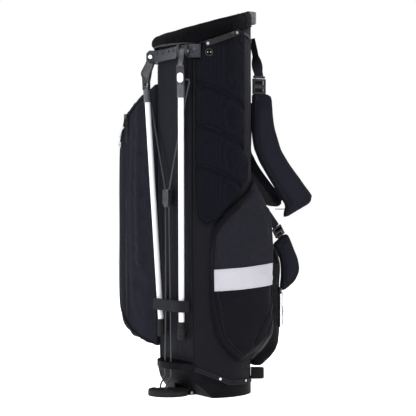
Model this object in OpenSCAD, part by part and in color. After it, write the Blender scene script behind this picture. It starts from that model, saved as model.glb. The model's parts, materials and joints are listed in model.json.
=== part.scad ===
// Golf stand bag, standing upright with its legs folded.
// Millimetres, +Z up. The origin is on the axis of the tube, on the plane it stands on.
// The legs and the foot plate are at the front (-Y), the hip pad at +X,
// the large pocket at -X, and the shoulder straps and ball pocket at the back (+Y).

/* [Body] */
// Outer radius of the fabric tube
tube_r = 109; // [107:0.5:111]
// Thickness of the fabric tube and its foam
wall = 3; // [2:0.5:4]
// Height of the rim on the axis of the tube
rim_z = 857; // [850:1:866]
// Slope of the rim, low at the front, in degrees
rim_tilt = 17.5; // [15:0.5:19]
// How far the padded cuff stands out from the tube
cuff_out = 6; // [5:0.5:8]
// Depth of the cuff below the rim
cuff_h = 38; // [34:1:40]

/* [Legs] */
// Height of the leg hinges
hinge_z = 779; // [775:1:781]
// Diameter of a leg tube
leg_d = 13; // [11:0.5:13.5]
// Diameter of the hinge pins
pin_d = 6; // [5:0.5:7]
// Diameter of the steel rods
rod_d = 4; // [3:0.5:4]
// Running clearance around a pin
fit = 0.06; // [0.03:0.01:0.1]

/* [Base] */
// Width of the foot plate
plate_w = 92; // [80:1:96]
// Height of the boot's front shelf
shelf_z = 76; // [74:1:78]

/* [Soft parts] */
// Thickness of the hip pad
pad_t = 12; // [8:1:14]
// Width of a shoulder strap pad
strap_w = 66; // [56:1:68]
// Thickness of a shoulder strap pad
strap_t = 16; // [12:1:18]
// Width of the webbing
web_w = 25; // [20:1:30]
// Height of the light band on the side pocket
band_h = 50; // [40:1:55]

/* [Hidden] */

$fn = 64;
inner_r = tube_r - wall;
cuff_r = tube_r + cuff_out;
pad_r = tube_r + pad_t;
front_top_z = 797;      // where the flat front ends under the cuff
front_foot = [-75, 130]; // a point (y, z) on the flat front
front_lean = 1.85;      // the flat front leans forward, in degrees

// The right hinge: the pivot, with the leg swinging out at 45 degrees
hinge = [71, -99.5, hinge_z];
hinge_turn = -45;
cheek_w = 25;           // across the bracket's two cheeks, along the pin
tongue_w = 12;          // the yoke's tongue between them
head_r = 4.6;           // head of a hinge pin
head_t = 1.4;
wing_z = 765;           // lower edge of the bracket's wing
wing_end = 55;          // how far round it reaches, in degrees
// The right leg's axis, from its top end to its bottom end
leg_top = [78, -108, 690];
leg_end = [47, -88, 160];
leg_run = leg_top - leg_end;
leg_tilt = acos(leg_run.z / norm(leg_run));
leg_turn = atan2(leg_run.y, leg_run.x);
leg_len = norm(leg_run);

// Foot plate pin, (y, z), and the place of the rod ends in the plate
plate_pin = [-54, 6];
hook_y = -109;
rod_x = 13;
rod_hole_y = -96;

// Lower rod of the right side, from the connector to the foot plate
lower_path = [[8, -98, 450], [8, -98, 430], [9, -97, 330], [11, -96, 200],
    [rod_x, -96, 90], [rod_x, -96, 62], [rod_x, -96, 44], [rod_x, -99, 36],
    [rod_x, -106, 28], [rod_x, hook_y, 21], [rod_x, hook_y, 11]];
// Upper rod of the right side, from the connector to the outer side of the leg
upper_path = [[9, -98, 470], [16, -98, 492], [40, -98, 560], [66, -97, 635],
    [80, -96, 675], [90, -95.5, 700], [92, -94, 709], [91, -95, 714],
    [88, -98, 714.5], [85, -101, 714.5], [80, -106, 714.5]];
// Centre of the rod's eye in the yoke
hook_point = [85, -101, 714.5];

// ---- Shapes that repeat ----

// A side view, drawn as (y, z), made w wide along X
module side_extrude(w) {
    rotate([90, 0, 90]) translate([0, 0, -w / 2]) linear_extrude(w) children();
}

// Everything above the plane that is parallel to the rim and passes drop below it
module above_rim(drop) {
    translate([0, 0, rim_z - drop]) rotate([rim_tilt, 0, 0])
        translate([-250, -250, 0]) cube([500, 500, 250]);
}

// Everything in front of the flat front, moved back by inset
module before_front(inset, top = front_top_z) {
    intersection() {
        translate([0, front_foot[0] + inset, front_foot[1]]) rotate([front_lean, 0, 0])
            translate([-200, -100, -200]) cube([400, 100, 1100]);
        translate([-200, -250, 0]) cube([400, 250, top]);
    }
}

// A ring sector between two polar angles, measured from the front towards +X
module sector(r_in, r_out, a0, a1, z0, z1) {
    reach = 2 * r_out;
    steps = [for (i = [0 : 4]) a0 + (a1 - a0) * i / 4];
    translate([0, 0, z0]) intersection() {
        difference() {
            cylinder(r = r_out, h = z1 - z0, $fn = 96);
            translate([0, 0, -1]) cylinder(r = r_in, h = z1 - z0 + 2, $fn = 96);
        }
        linear_extrude(z1 - z0) polygon(concat([[0, 0]],
            [for (a = steps) [reach * sin(a), -reach * cos(a)]]));
    }
}

// Unit vector from a to b in the plane
function dir2(a, b) = (b - a) / norm(b - a);
// Tangent of a polyline at point i
function tangent2(p, i) = dir2(p[max(i - 1, 0)], p[min(i + 1, len(p) - 1)]);
// The outline of a polyline given the thickness t, on both sides of it
function ribbon(p, t) = concat(
    [for (i = [0 : len(p) - 1]) p[i] + t / 2 * [-tangent2(p, i).y, tangent2(p, i).x]],
    [for (i = [len(p) - 1 : -1 : 0]) p[i] - t / 2 * [-tangent2(p, i).y, tangent2(p, i).x]]);

// A round wire or cord swept along a path in space, as one polyhedron
function unit(v) = v / norm(v);
function along(p, i) = unit(p[min(i + 1, len(p) - 1)] - p[max(i - 1, 0)]);
function across(t) = unit(cross(t, abs(t.x) < 0.8 ? [1, 0, 0] : [0, 1, 0]));
module wire(p, d, sides = 8) {
    n = len(p);
    rings = [for (i = [0 : n - 1]) let (t = along(p, i), u = across(t), v = cross(t, u))
        for (k = [0 : sides - 1]) p[i] + d / 2 * (cos(360 * k / sides) * u
            + sin(360 * k / sides) * v)];
    walls = [for (i = [0 : n - 2]) for (k = [0 : sides - 1])
        let (a = i * sides + k, b = i * sides + (k + 1) % sides)
        [a, a + sides, b + sides, b]];
    polyhedron(rings, concat([[for (k = [0 : sides - 1]) k]], walls,
        [[for (k = [sides - 1 : -1 : 0]) (n - 1) * sides + k]]), convexity = 6);
}

// Puts its children on a round surface, at a polar angle from the front towards +X
module radial(a, r, z) {
    rotate([0, 0, a - 90]) translate([r, 0, z]) rotate([0, 90, 0]) children();
}

// A rivet's head, with a lower rim
module rivet(r, h) {
    cylinder(r = r, h = h * 0.6, $fn = 24);
    cylinder(r = r * 0.65, h = h, $fn = 24);
}

// Puts its children in the right hinge's frame: X out along the swing, Y along the pin
module at_hinge() {
    translate(hinge) rotate([0, 0, hinge_turn]) children();
}

// Puts its children on the right leg's axis, with Z = 0 at the leg's top end
module on_leg() {
    translate(leg_top) rotate([0, 0, leg_turn]) rotate([0, leg_tilt, 0]) children();
}

// A cylinder along the hinge pin
module pin_bar(r, w) {
    rotate([90, 0, 0]) translate([0, 0, -w / 2]) cylinder(r = r, h = w, $fn = 48);
}

// ---- Base ----

boot_side = [[-39, 0], [-59, 21], [-70, 33], [-86, 62], [-109, 62], [-109, shelf_z],
    [-72, shelf_z], [-72, 59], [0, 28], [tube_r, 24], [tube_r, 0]];
spigot_side = [[-69, 48], [-69, 96], [-60, 74], [0, 48], [tube_r, 44], [tube_r, 10],
    [-40, 10], [-66, 44]];
cavity_side = [[-35, 4], [-55, 25], [-64, 36], [-66, 40], [-66, 200], [tube_r, 200],
    [tube_r, 4]];

module boot() {
    color([0.06, 0.06, 0.07]) difference() {
        union() {
            intersection() {
                cylinder(r = tube_r, h = 100, $fn = 128);
                side_extrude(240) polygon(boot_side);
            }
            intersection() {
                cylinder(r = inner_r - 0.1, h = 100, $fn = 128);
                side_extrude(240) polygon(spigot_side);
            }
        }
        intersection() {
            cylinder(r = inner_r - 3, h = 200, $fn = 128);
            side_extrude(240) polygon(cavity_side);
        }
        // Holes for the rods in the front shelf
        for (s = [-1, 1]) translate([s * rod_x, rod_hole_y, 50]) cylinder(d = 10, h = 40);
    }
    // Lugs that carry the foot plate pin, under the sloping front
    color([0.06, 0.06, 0.07]) for (s = [-1, 1])
        translate([s * 33, 0, 0]) side_extrude(5) difference() {
            polygon([[-60, 1], [-38, 1], [-40, 6], [-57, 24], [-60, 22]]);
            translate(plate_pin) circle(d = pin_d, $fn = 32);
        }
}

module boot_hem() {
    hem_side = [[-72, 59], [0, 28], [tube_r + 3, 24], [tube_r + 3, 35], [0, 39], [-72, 70]];
    color([0.05, 0.05, 0.06]) intersection() {
        difference() {
            cylinder(r = tube_r + 1.5, h = 100, $fn = 96);
            translate([0, 0, -1]) cylinder(r = tube_r, h = 102, $fn = 96);
        }
        side_extrude(240) polygon(hem_side);
    }
}

module boot_rivets() {
    for (a = [-118, -78, 78, 118, 160])
        color([0.62, 0.6, 0.56]) radial(a, tube_r + 1.5, a == 160 ? 31
            : 33.5 + 0.43 * tube_r * max(cos(a), 0)) rivet(3, 1.8);
}

module base_loop() {
    // Webbing standing on edge, bent into a U that stands out from the tube
    color([0.04, 0.04, 0.05]) rotate([0, 0, -30]) translate([0, tube_r, 31])
        linear_extrude(web_w) polygon(ribbon([[-13, 1.6], [-13, 17], [-9, 26.5], [0, 30],
            [9, 26.5], [13, 17], [13, 1.6]], 1.6));
}

// ---- Body ----

module body_shell() {
    color([0.05, 0.05, 0.06]) difference() {
        cylinder(r = tube_r, h = 950, $fn = 128);
        translate([0, 0, -1]) cylinder(r = inner_r, h = 952, $fn = 128);
        above_rim(12);
        before_front(wall);
        // Follows the top edge of the boot
        side_extrude(240) polygon([[-120, -1], [-120, 79.7], [-72, 59], [0, 28],
            [tube_r + 1, 24], [tube_r + 1, -1]]);
    }
}

module front_panel() {
    color([0.06, 0.06, 0.07]) intersection() {
        difference() {
            before_front(wall);
            before_front(0);
        }
        translate([0, 0, shelf_z]) cylinder(r = tube_r, h = 950, $fn = 128);
    }
}

module top_collar() {
    color([0.08, 0.08, 0.09]) difference() {
        cylinder(r = inner_r, h = 950, $fn = 128);
        translate([0, 0, -1]) cylinder(r = inner_r - 5, h = 952, $fn = 128);
        above_rim(12);
        before_front(wall);
        difference() {
            translate([-200, -200, -1]) cube([400, 400, 960]);
            above_rim(66);
        }
    }
}

module collar_cuff() {
    color([0.04, 0.04, 0.05]) difference() {
        cylinder(r = cuff_r, h = 950, $fn = 128);
        above_rim(0);
        // Under the lower edge, which is level at the front
        difference() {
            translate([-200, -200, -1]) cube([400, 400, 960]);
            above_rim(cuff_h);
        }
        translate([-200, -200, -1]) cube([400, 400, front_top_z - 1]);
        // Round the tube, and open in the middle
        translate([0, 0, -1]) cylinder(r = inner_r - 5, h = 952, $fn = 128);
        difference() {
            translate([0, 0, -1]) cylinder(r = tube_r, h = 952, $fn = 128);
            above_rim(12);
        }
    }
}

module divider_frame() {
    ring_r = inner_r - 5;
    color([0.05, 0.05, 0.06]) difference() {
        intersection() {
            union() {
                difference() {
                    cylinder(r = ring_r, h = 950, $fn = 96);
                    translate([0, 0, -1]) cylinder(r = ring_r - 4, h = 952, $fn = 96);
                }
                translate([-ring_r + 2, -4, 0]) cube([2 * ring_r - 4, 8, 950]);
                translate([-4, -ring_r + 2, 0]) cube([8, 2 * ring_r - 4, 950]);
            }
            above_rim(44);
        }
        above_rim(14);
        before_front(wall);
    }
}

module divider_sheets() {
    color([0.1, 0.1, 0.11]) difference() {
        intersection() {
            cylinder(r = inner_r - 9, h = 950, $fn = 96);
            union() {
                side_extrude(1.6) polygon([[-34, 8], [-54, 30], [-61, 42], [-64, 60],
                    [-64, 100], [-86, 950], [96, 950], [96, 8]]);
                translate([-100, -0.8, 6]) cube([200, 1.6, 950]);
            }
        }
        above_rim(44);
    }
}

module spine_stay() {
    color([0.3, 0.3, 0.32]) translate([-10, inner_r - 8, 6]) cube([20, 4, 800]);
}

module side_stays() {
    for (s = [-1, 1]) color([0.3, 0.3, 0.32])
        translate([s * 83, -53, 32]) cylinder(d = 6, h = 732);
}

// ---- Leg bracket ----

// Slot for the yoke's tongue, 0.3 mm clear of it on both sides
module tongue_slot() {
    at_hinge() translate([-10, -tongue_w / 2 - 0.3, -30]) cube([40, tongue_w + 0.6, 60]);
}

module bracket_side() {
    // Fork round the hinge: two cheeks with the yoke's tongue between them
    difference() {
        at_hinge() rotate([90, 0, 0]) translate([0, 0, -cheek_w / 2]) linear_extrude(cheek_w)
            polygon([[-26, -12], [4, -12], [10, -6], [10, 8], [3, 15], [-26, 15]]);
        at_hinge() pin_bar(pin_d / 2, 60);
    }
    // Wing that wraps the tube, just under the cuff, with a recess for the pin's head
    difference() {
        sector(tube_r, cuff_r + 3, 36, wing_end, wing_z, front_top_z - 2);
        at_hinge() translate([0, cheek_w / 2 + 6, 0]) pin_bar(head_r + 0.8, 12);
    }
}

module leg_bracket() {
    color([0.08, 0.08, 0.09]) difference() {
        union() {
            bracket_side();
            mirror([1, 0, 0]) bracket_side();
            translate([-51, -104.5, wing_z]) cube([102, 14, 27]);
        }
        // The bag's own surfaces
        difference() {
            cylinder(r = tube_r, h = 950, $fn = 128);
            before_front(0);
        }
        tongue_slot();
        mirror([1, 0, 0]) tongue_slot();
    }
}

module bracket_rivets() {
    for (s = [-1, 1]) color([0.6, 0.42, 0.25]) {
        for (x = [15, 38]) translate([s * x, -104.5, 784]) rotate([90, 0, 0]) rivet(2.8, 2);
        radial(s * 48, cuff_r + 3, 783) rivet(3.2, 2.2);
    }
}

module hinge_pins() {
    for (s = [0, 1]) color([0.75, 0.75, 0.78]) mirror([s, 0, 0]) at_hinge() {
        pin_bar(pin_d / 2, cheek_w);
        for (e = [-1, 1]) translate([0, e * (cheek_w + head_t) / 2, 0]) pin_bar(head_r, head_t);
    }
}

// ---- Legs ----

// Side view of the yoke arm in the hinge's frame
yoke_side = [[-5, 7.5], [5, 7.5], [9, 0], [14, -14], [24, -32], [24, -40], [21.3, -48],
    [20, -76], [6, -76], [6, -56], [3, -44], [1, -32], [-5, -16], [-9, 0]];

module leg_yoke() {
    color([0.1, 0.1, 0.11]) difference() {
        union() {
            at_hinge() rotate([90, 0, 0]) translate([0, 0, -tongue_w / 2])
                linear_extrude(tongue_w) difference() {
                    union() {
                        polygon(yoke_side);
                        circle(r = 9, $fn = 48);
                    }
                    circle(d = pin_d + 2 * fit, $fn = 48);
                }
            // Wider body below the bracket
            at_hinge() rotate([90, 0, 0]) translate([0, 0, -9])
                linear_extrude(18) polygon([[2, -34], [24, -34], [24, -40], [21.3, -48],
                    [20, -76], [6, -76], [6, -56]]);
        }
        on_leg() translate([0, 0, -20]) cylinder(d = 17, h = 36);
        // Eye for the hook of the upper rod, with room for its travel
        translate(hook_point) rotate([0, 0, hinge_turn]) rotate([90, 0, 0])
            translate([0, 0, -6]) cylinder(r = rod_d / 2 + 2.4, h = 30);
    }
}

module leg_cap() {
    color([0.35, 0.36, 0.38]) on_leg() {
        translate([0, 0, -16]) difference() {
            cylinder(d = 17, h = 32);
            translate([0, 0, -1]) cylinder(d = leg_d, h = 17);
        }
    }
}

module pivot_disc() {
    // Oval cap over the rod's eye, on the outward side of the yoke
    color([0.93, 0.93, 0.94]) at_hinge() translate([20.8, 0, -61]) rotate([0, 92.6, 0])
        hull() for (z = [-4, 4]) translate([z, 0, 0]) cylinder(r = 7, h = 2.4, $fn = 32);
}

module leg_tube() {
    color([0.94, 0.94, 0.95]) on_leg() translate([0, 0, -leg_len]) difference() {
        cylinder(d = leg_d, h = leg_len);
        translate([0, 0, 2]) cylinder(d = leg_d - 2.4, h = leg_len);
    }
}

module leg_foot() {
    foot_z = -leg_len - 30; // the foot's lower end
    color([0.07, 0.07, 0.07]) on_leg() difference() {
        rotate_extrude($fn = 48) polygon([[0, foot_z], [8.6, foot_z], [9.8, foot_z + 3],
            [9.8, foot_z + 8], [8.8, foot_z + 10], [9.6, foot_z + 12],
            [9.6, foot_z + 15], [8.5, foot_z + 17], [9.2, foot_z + 19],
            [9.2, foot_z + 22], [8.1, foot_z + 25], [7.9, foot_z + 40],
            [leg_d / 2, foot_z + 40], [leg_d / 2, -leg_len], [0, -leg_len]]);
        // Sole cut flat for the ground when the leg is out
        translate([0, 0, foot_z]) rotate([0, 0, hinge_turn - leg_turn]) rotate([0, 24, 0])
            translate([-30, -30, -38]) cube([60, 60, 38]);
    }
}

// ---- Rods and foot plate ----

module rod_connector() {
    color([0.07, 0.07, 0.08]) difference() {
        union() {
            translate([-13, -104, 436]) cube([26, 11, 34]);
            translate([-9, -102.5, 430]) cube([18, 8.5, 6]);
        }
        for (z = [442, 448, 454, 460]) translate([-7, -104.8, z]) cube([14, 1.6, 2.4]);
        for (s = [-1, 1]) {
            // Sockets for the lower rods, and open seats for the upper rods
            translate([s * 8, -98, 420]) cylinder(d = rod_d, h = 30);
            translate([s * 9, -98, 462]) cylinder(r = rod_d / 2 + 1.4, h = 20);
            translate([s * 9 + (s < 0 ? -16 : 0), -101.4, 462]) cube([16, 6.8, 20]);
        }
    }
}

module lower_rods() {
    for (s = [0, 1]) color([0.25, 0.25, 0.27]) mirror([s, 0, 0]) wire(lower_path, rod_d);
}

module upper_rod() {
    color([0.25, 0.25, 0.27]) wire(upper_path, rod_d);
}

module foot_plate() {
    color([0.07, 0.07, 0.07]) difference() {
        intersection() {
            union() {
                // Oval sole with a raised toe
                linear_extrude(11) difference() {
                    union() {
                        translate([0, -96]) circle(r = plate_w / 2, $fn = 96);
                        translate([-30, -92]) square([60, 36]);
                    }
                    translate([-60, -57]) square([120, 60]);
                }
                side_extrude(60) polygon([[-60, 0], [-54, 0], [-54, 11.5], [-60, 11]]);
                // Ribs on the toe
                for (i = [0 : 3]) translate([0, -96, 11]) difference() {
                    cylinder(r = plate_w / 2 - 1 - 5 * i, h = 2.4, $fn = 96);
                    translate([0, 0, -1]) cylinder(r = plate_w / 2 - 3.4 - 5 * i, h = 5,
                        $fn = 96);
                    translate([-60, -12, -1]) cube([120, 80, 6]);
                }
                // Knuckle round the pin
                side_extrude(60) translate(plate_pin)
                    circle(r = 6, $fn = 48);
            }
            translate([-60, -142, 0]) cube([120, 94, 30]);
        }
        // Room beside the knuckle for the boot's lugs
        for (s = [-1, 1]) translate([s * 35 - 5.5, -64, -1]) cube([11, 30, 40]);
        // Pockets for the rod ends
        for (s = [-1, 1]) translate([s * rod_x - 4, hook_y - 13, 5]) cube([8, 17, 20]);
        side_extrude(70) translate(plate_pin) circle(d = pin_d + 2 * fit, $fn = 48);
    }
}

module foot_pin() {
    color([0.7, 0.7, 0.72]) side_extrude(71) translate(plate_pin) circle(d = pin_d, $fn = 48);
}

// ---- Soft parts on the sides ----

module hip_pad() {
    color([0.04, 0.04, 0.05]) difference() {
        sector(tube_r + 0.1, pad_r, 49, 122, 394, 850);
        // Top edge, under the cuff
        intersection() {
            above_rim(cuff_h + 1);
            translate([-200, -200, front_top_z - 2]) cube([400, 400, 200]);
        }
        // Back edge, narrower above, and bottom edge, rising to the back
        rotate([0, 0, 112 - 90]) translate([0, 0, 560]) cube([300, 300, 400]);
        translate([0, -70, 392]) rotate([45, 0, 0]) translate([0, -200, -400])
            cube([300, 600, 400]);
        // Room for the bracket's wing
        sector(tube_r - 5, pad_r + 5, 30, wing_end + 1, wing_z - 0.5, 900);
    }
}

apparel_plan = [[-60, -60], [-86, -84], [-195, -113], [-214, -110], [-222, -94],
    [-222, 35], [-212, 64], [-186, 84], [-74, 94], [-40, 60]];
apparel_top = [[-60, 728], [-97, 719], [-126, 703], [-158, 681], [-188, 654],
    [-208, 618], [-222, 572], [-222, 215], [-212, 190], [-196, 160], [-173, 127],
    [-130, 108], [-90, 100], [-60, 92]];

module apparel_pocket() {
    color([0.05, 0.05, 0.06]) difference() {
        intersection() {
            linear_extrude(740) polygon(apparel_plan);
            rotate([90, 0, 0]) translate([0, 0, -150]) linear_extrude(300)
                polygon(apparel_top);
        }
        cylinder(r = tube_r + 0.1, h = 800, $fn = 128);
    }
}

side_plan = [[60, -60], [97, -51], [118, -32], [132, 4], [138, 45], [136, 84],
    [128, 106], [114, 118], [88, 116], [68, 100], [50, 80]];
// Outline of the side pocket, across its own middle, in (across, height)
side_outline = [[76, 497], [36, 470], [-6, 446], [-41, 421], [-64, 389], [-73, 356],
    [-75, 297], [-74, 244], [-70, 199], [-62, 142], [-45, 112], [-17, 86], [18, 67],
    [60, 60], [90, 60], [90, 500]];
side_turn = 15; // the middle of the side pocket, behind +X

module side_pocket() {
    color([0.07, 0.07, 0.08]) difference() {
        intersection() {
            linear_extrude(520) polygon(side_plan);
            rotate([0, 0, side_turn]) translate([60, 0, 0]) side_extrude(300)
                polygon(side_outline);
        }
        cylinder(r = tube_r + 0.1, h = 800, $fn = 128);
        // Top and bottom fall away outwards
        rotate([0, 0, side_turn + 5]) translate([tube_r, 0, 466]) rotate([12, 52, 0])
            translate([-200, -200, 0]) cube([400, 400, 300]);
        rotate([0, 0, side_turn + 5]) translate([tube_r, 0, 70]) rotate([12, -48, 0])
            translate([-200, -200, -300]) cube([400, 400, 300]);
        // Flat under the zip
        at_side_zip() translate([-60, -98.8, -60]) cube([120, 100, 320]);
    }
}

module reflective_band() {
    face = [[97.5, -51], [118, -32], [132, 4], [138, 45], [136, 84], [128, 106], [116, 116.5]];
    color([0.72, 0.73, 0.74]) intersection() {
        linear_extrude(400) polygon(concat([for (p = face) p + 1 * unit(p - [20, 20])],
            [for (i = [len(face) - 1 : -1 : 0]) face[i]]));
        translate([0, 0, 243]) rotate([5.5, 0, 0]) translate([0, -200, 0])
            cube([200, 400, band_h]);
    }
}

ball_plan = [[-30, 60], [-66, 104], [-66, 162], [-54, 178], [-36, 185], [42, 185],
    [62, 165], [66, 121], [60, 100], [30, 60]];
ball_side = [[90, 350], [150, 340], [170, 322], [185, 290], [185, 143], [172, 110],
    [152, 88], [134, 72], [118, 59], [90, 59]];

module ball_pocket() {
    color([0.05, 0.05, 0.06]) difference() {
        intersection() {
            linear_extrude(400) polygon(ball_plan);
            side_extrude(200) polygon(ball_side);
        }
        cylinder(r = tube_r + 1.6, h = 800, $fn = 128);
        // Clear of the side pocket
        linear_extrude(520) polygon([for (p = side_plan) p + [-1, 1]]);
    }
}

module grab_handle() {
    color([0.04, 0.04, 0.05]) rotate([0, 0, 79 - 90]) translate([0, 0, 809])
        rotate([21, 0, 0]) translate([0, 0, -6]) linear_extrude(12)
            polygon(ribbon([[116.5, -41], [119, -33], [123, -26], [130, -16], [132, 0],
                [130, 16], [123, 26], [119, 33], [116.5, 41]], 2.4));
}

module handle_rivets() {
    color([0.75, 0.75, 0.77]) rotate([0, 0, 79 - 90]) translate([0, 0, 809])
        rotate([21, 0, 0]) for (s = [-1, 1]) translate([117.8, s * 37, 0])
            rotate([0, 0, s * 17]) rotate([0, 90, 0]) translate([0, 0, 1.3]) rivet(3.2, 2);
}

module lift_handle() {
    // Webbing standing on edge, bent into a U that stands out from the cuff
    color([0.41, 0.39, 0.42]) translate([0, 0, 864]) linear_extrude(28)
        polygon(ribbon([[-20, cuff_r - 1], [-20, 126], [-15, 134], [0, 137], [15, 134],
            [20, 126], [20, cuff_r - 1]], 3));
}

module grommet() {
    color([0.05, 0.05, 0.05]) radial(64, pad_r, 776) difference() {
        cylinder(r = 9, h = 3, $fn = 48);
        translate([0, 0, 1]) cylinder(r = 6.4, h = 3, $fn = 48);
    }
    color([0.8, 0.62, 0.3]) for (s = [-1, 1])
        radial(64 + s * 1.6, pad_r + 0.8, 776) cylinder(r = 1.2, h = 3.4, $fn = 24);
}

// ---- Shoulder straps, in the (y, z) view ----
// The right strap hangs with its broad face to the side, the left one with it to the back

right_x = 45;
left_x = -36;
right_pad = [[104, 694], [153, 694], [156, 679], [168, 618], [187, 565], [213, 530],
    [242, 498], [275, 456], [270, 440], [242, 425], [198, 403], [196, 415], [201, 431],
    [173, 468], [148, 502], [124, 537], [110, 567], [104, 600]];
left_pad_path = [[132, 690], [131, 655], [130, 620], [129, 590], [129, 562], [133, 540],
    [143, 520], [160, 500], [182, 478], [204, 456], [223, 433]];
lower_pad = [[168, 343], [206, 367], [222, 335], [236, 305], [241, 279], [228, 255],
    [205, 238], [188, 229], [188, 262], [187, 295], [181, 318]];
web_t = 1.8; // thickness of the webbing

module strap_right_pad() {
    color([0.04, 0.04, 0.05]) translate([right_x, 0, 0]) side_extrude(strap_t)
        polygon(right_pad);
}

module strap_left_pad() {
    color([0.04, 0.04, 0.05]) translate([left_x, 0, 0]) side_extrude(strap_w)
        polygon(ribbon(left_pad_path, strap_t));
}

// Webbing from the top of the spine to the buckle
module strap_web(x, path) {
    color([0.03, 0.03, 0.04]) translate([x, 0, 0]) side_extrude(web_w)
        polygon(ribbon(path, web_t));
}

// Ladder-lock buckle: a frame with three bars
module ladder_lock(w, h, t) {
    difference() {
        cube([w, t, h], center = true);
        for (z = [-h / 4, h / 4]) translate([0, 0, z]) cube([w - 8, t + 2, h / 4],
            center = true);
    }
    translate([0, -t / 2 - 1.2, 0]) cube([w - 4, 2.4, h / 7], center = true);
}

// Buckle with the bar that holds the webbing above it
module strap_buckle() {
    color([0.1, 0.1, 0.11]) ladder_lock(web_w + 10, 36, 6);
    color([0.1, 0.1, 0.11]) translate([0, 0, 22]) rotate([0, 90, 0])
        translate([0, 0, -web_w / 2 - 3]) cylinder(d = 6, h = web_w + 6, $fn = 24);
}

module strap_lower_web() {
    // From the side of the body to the lower buckle
    color([0.03, 0.03, 0.04]) translate([right_x, 0, 0]) side_extrude(web_t)
        polygon([[100.5, 466], [100.5, 490], [116, 474], [137, 442], [180.8, 388.9],
            [163.5, 378.9], [120.5, 429]]);
    // Joins the lower ends of the two pads
    color([0.03, 0.03, 0.04]) translate([-2.6, 204, 424]) cube([39.2, 20, web_t]);
}

module strap_lower_buckle() {
    color([0.1, 0.1, 0.11]) translate([right_x, 179, 372]) rotate([30, 0, 0])
        rotate([0, 0, 90]) ladder_lock(26, 24, 6);
}

module strap_lower_pad() {
    color([0.04, 0.04, 0.05]) translate([right_x - 3, 0, 0]) side_extrude(strap_t - 2)
        polygon(lower_pad);
}

// ---- Keeper strap, zips and pulls ----

module keeper_strap() {
    color([0.04, 0.04, 0.05]) translate([0, 0, 192]) linear_extrude(27)
        polygon(ribbon([[-74, -84], [-68, -95], [-58, -100.5], [-40, -102.5], [0, -103.5],
            [40, -102.5], [58, -100.5], [66, -94], [70, -82]], 1.8));
}

// A straight zip: two bands of tape and the teeth between them, length along Z
module zip(h) {
    translate([-6, 0, 0]) cube([12, 1, h]);
    translate([-1.6, -0.8, 0]) cube([3.2, 1.2, h]);
}

// A slider that runs on the zip, 0.3 mm clear of it, with its bridge
module slider() {
    difference() {
        translate([-4.5, -5, 0]) cube([9, 3.9, 13]);
        translate([-6, -3.6, 3]) cube([12, 1.4, 7]);
    }
}

// A pull: a cord loop, a curved tube and a flat tab, hanging from a slider
module pull_parts(cord_path, d, tube_path, tab_at) {
    color([0.05, 0.05, 0.05]) wire(cord_path, d);
    color([0.93, 0.93, 0.93]) wire(tube_path, 5);
    color([0.85, 0.86, 0.88]) translate(tab_at) rotate([90, 0, 0]) translate([0, 0, -1.5])
        linear_extrude(3) square([9, 18], center = true);
}

apparel_at = [-178, -108.4];
apparel_turn = 14.9;
module at_apparel_zip() {
    translate([apparel_at.x, apparel_at.y, 0]) rotate([0, 0, apparel_turn])
        translate([0, -1.2, 0]) children();
}

module apparel_zip() {
    color([0.08, 0.08, 0.09]) at_apparel_zip() translate([0, 0, 165]) zip(480);
}

module apparel_slider() {
    color([0.12, 0.12, 0.13]) at_apparel_zip() translate([0, 0, 640]) slider();
}

module apparel_pull() {
    at_apparel_zip() translate([0, -7.5, 0]) pull_parts(
        [[0, 0.6, 644], [-2, 0, 634], [-5, -0.5, 622], [-9, -0.5, 608], [-12, 0, 594]], 2.4,
        [[-3, -0.5, 622], [-9, -1, 616], [-16, -1, 604], [-19, 0, 596]], [-17, 0, 580]);
}

ball_at = [52.6, 175.6];
module at_ball_zip() {
    translate([ball_at.x, ball_at.y, 0]) rotate([0, 0, 135]) translate([0, -1.2, 0])
        children();
}

module ball_zip() {
    color([0.08, 0.08, 0.09]) at_ball_zip() translate([0, 0, 146]) zip(95);
}

module ball_slider() {
    color([0.12, 0.12, 0.13]) at_ball_zip() translate([0, 0, 225]) slider();
}

module ball_pull() {
    at_ball_zip() translate([0, -7.5, 0]) pull_parts(
        [[0, 0.6, 229], [0, 0, 217], [1, -0.5, 205], [1, -0.5, 191], [1, 0, 181]], 2.4,
        [[1, -0.5, 195], [2, -1, 187], [1, -1, 179], [0, 0, 173]], [1, 0, 159]);
}

side_zip_from = [76, 104, 440];
side_zip_to = [120, 124, 300];
module at_side_zip() {
    run = side_zip_from - side_zip_to;
    translate(side_zip_to) rotate([0, 0, atan2(run.y, run.x)])
        rotate([0, acos(run.z / norm(run)), 0]) rotate([0, 0, -35]) children();
}

module side_zip() {
    color([0.08, 0.08, 0.09]) at_side_zip() zip(140);
}

module side_slider() {
    color([0.12, 0.12, 0.13]) at_side_zip() translate([0, 0, 122]) slider();
}

module side_pull() {
    color([0.05, 0.05, 0.05]) at_side_zip() translate([0, -7.5, 0])
        wire([[0, 0.6, 126], [2, 0, 116], [4, -1, 100], [5, -1, 84], [5, 0, 70]], 3);
}

boot();
boot_hem();
boot_rivets();
base_loop();
body_shell();
front_panel();
top_collar();
collar_cuff();
divider_frame();
divider_sheets();
spine_stay();
side_stays();
leg_bracket();
bracket_rivets();
hinge_pins();
hip_pad();
apparel_pocket();
side_pocket();
ball_pocket();
reflective_band();
grab_handle();
handle_rivets();
lift_handle();
grommet();
strap_web(right_x,  // strap_right_web
    [[106, 818], [111, 804], [115, 786], [119, 762], [124, 739.5]]);
translate([right_x, 124, 713]) rotate([0, 0, 90]) strap_buckle();  // strap_right_buckle
strap_right_pad();
strap_web(left_x,  // strap_left_web
    [[115.5, 812], [122, 800], [127, 782], [130, 760], [132, 740]]);
translate([left_x, 133, 714]) strap_buckle();  // strap_left_buckle
strap_left_pad();
strap_lower_web();
strap_lower_buckle();
strap_lower_pad();
keeper_strap();
apparel_zip();
side_zip();
ball_zip();
leg_yoke();  // leg_yoke_right
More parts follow.
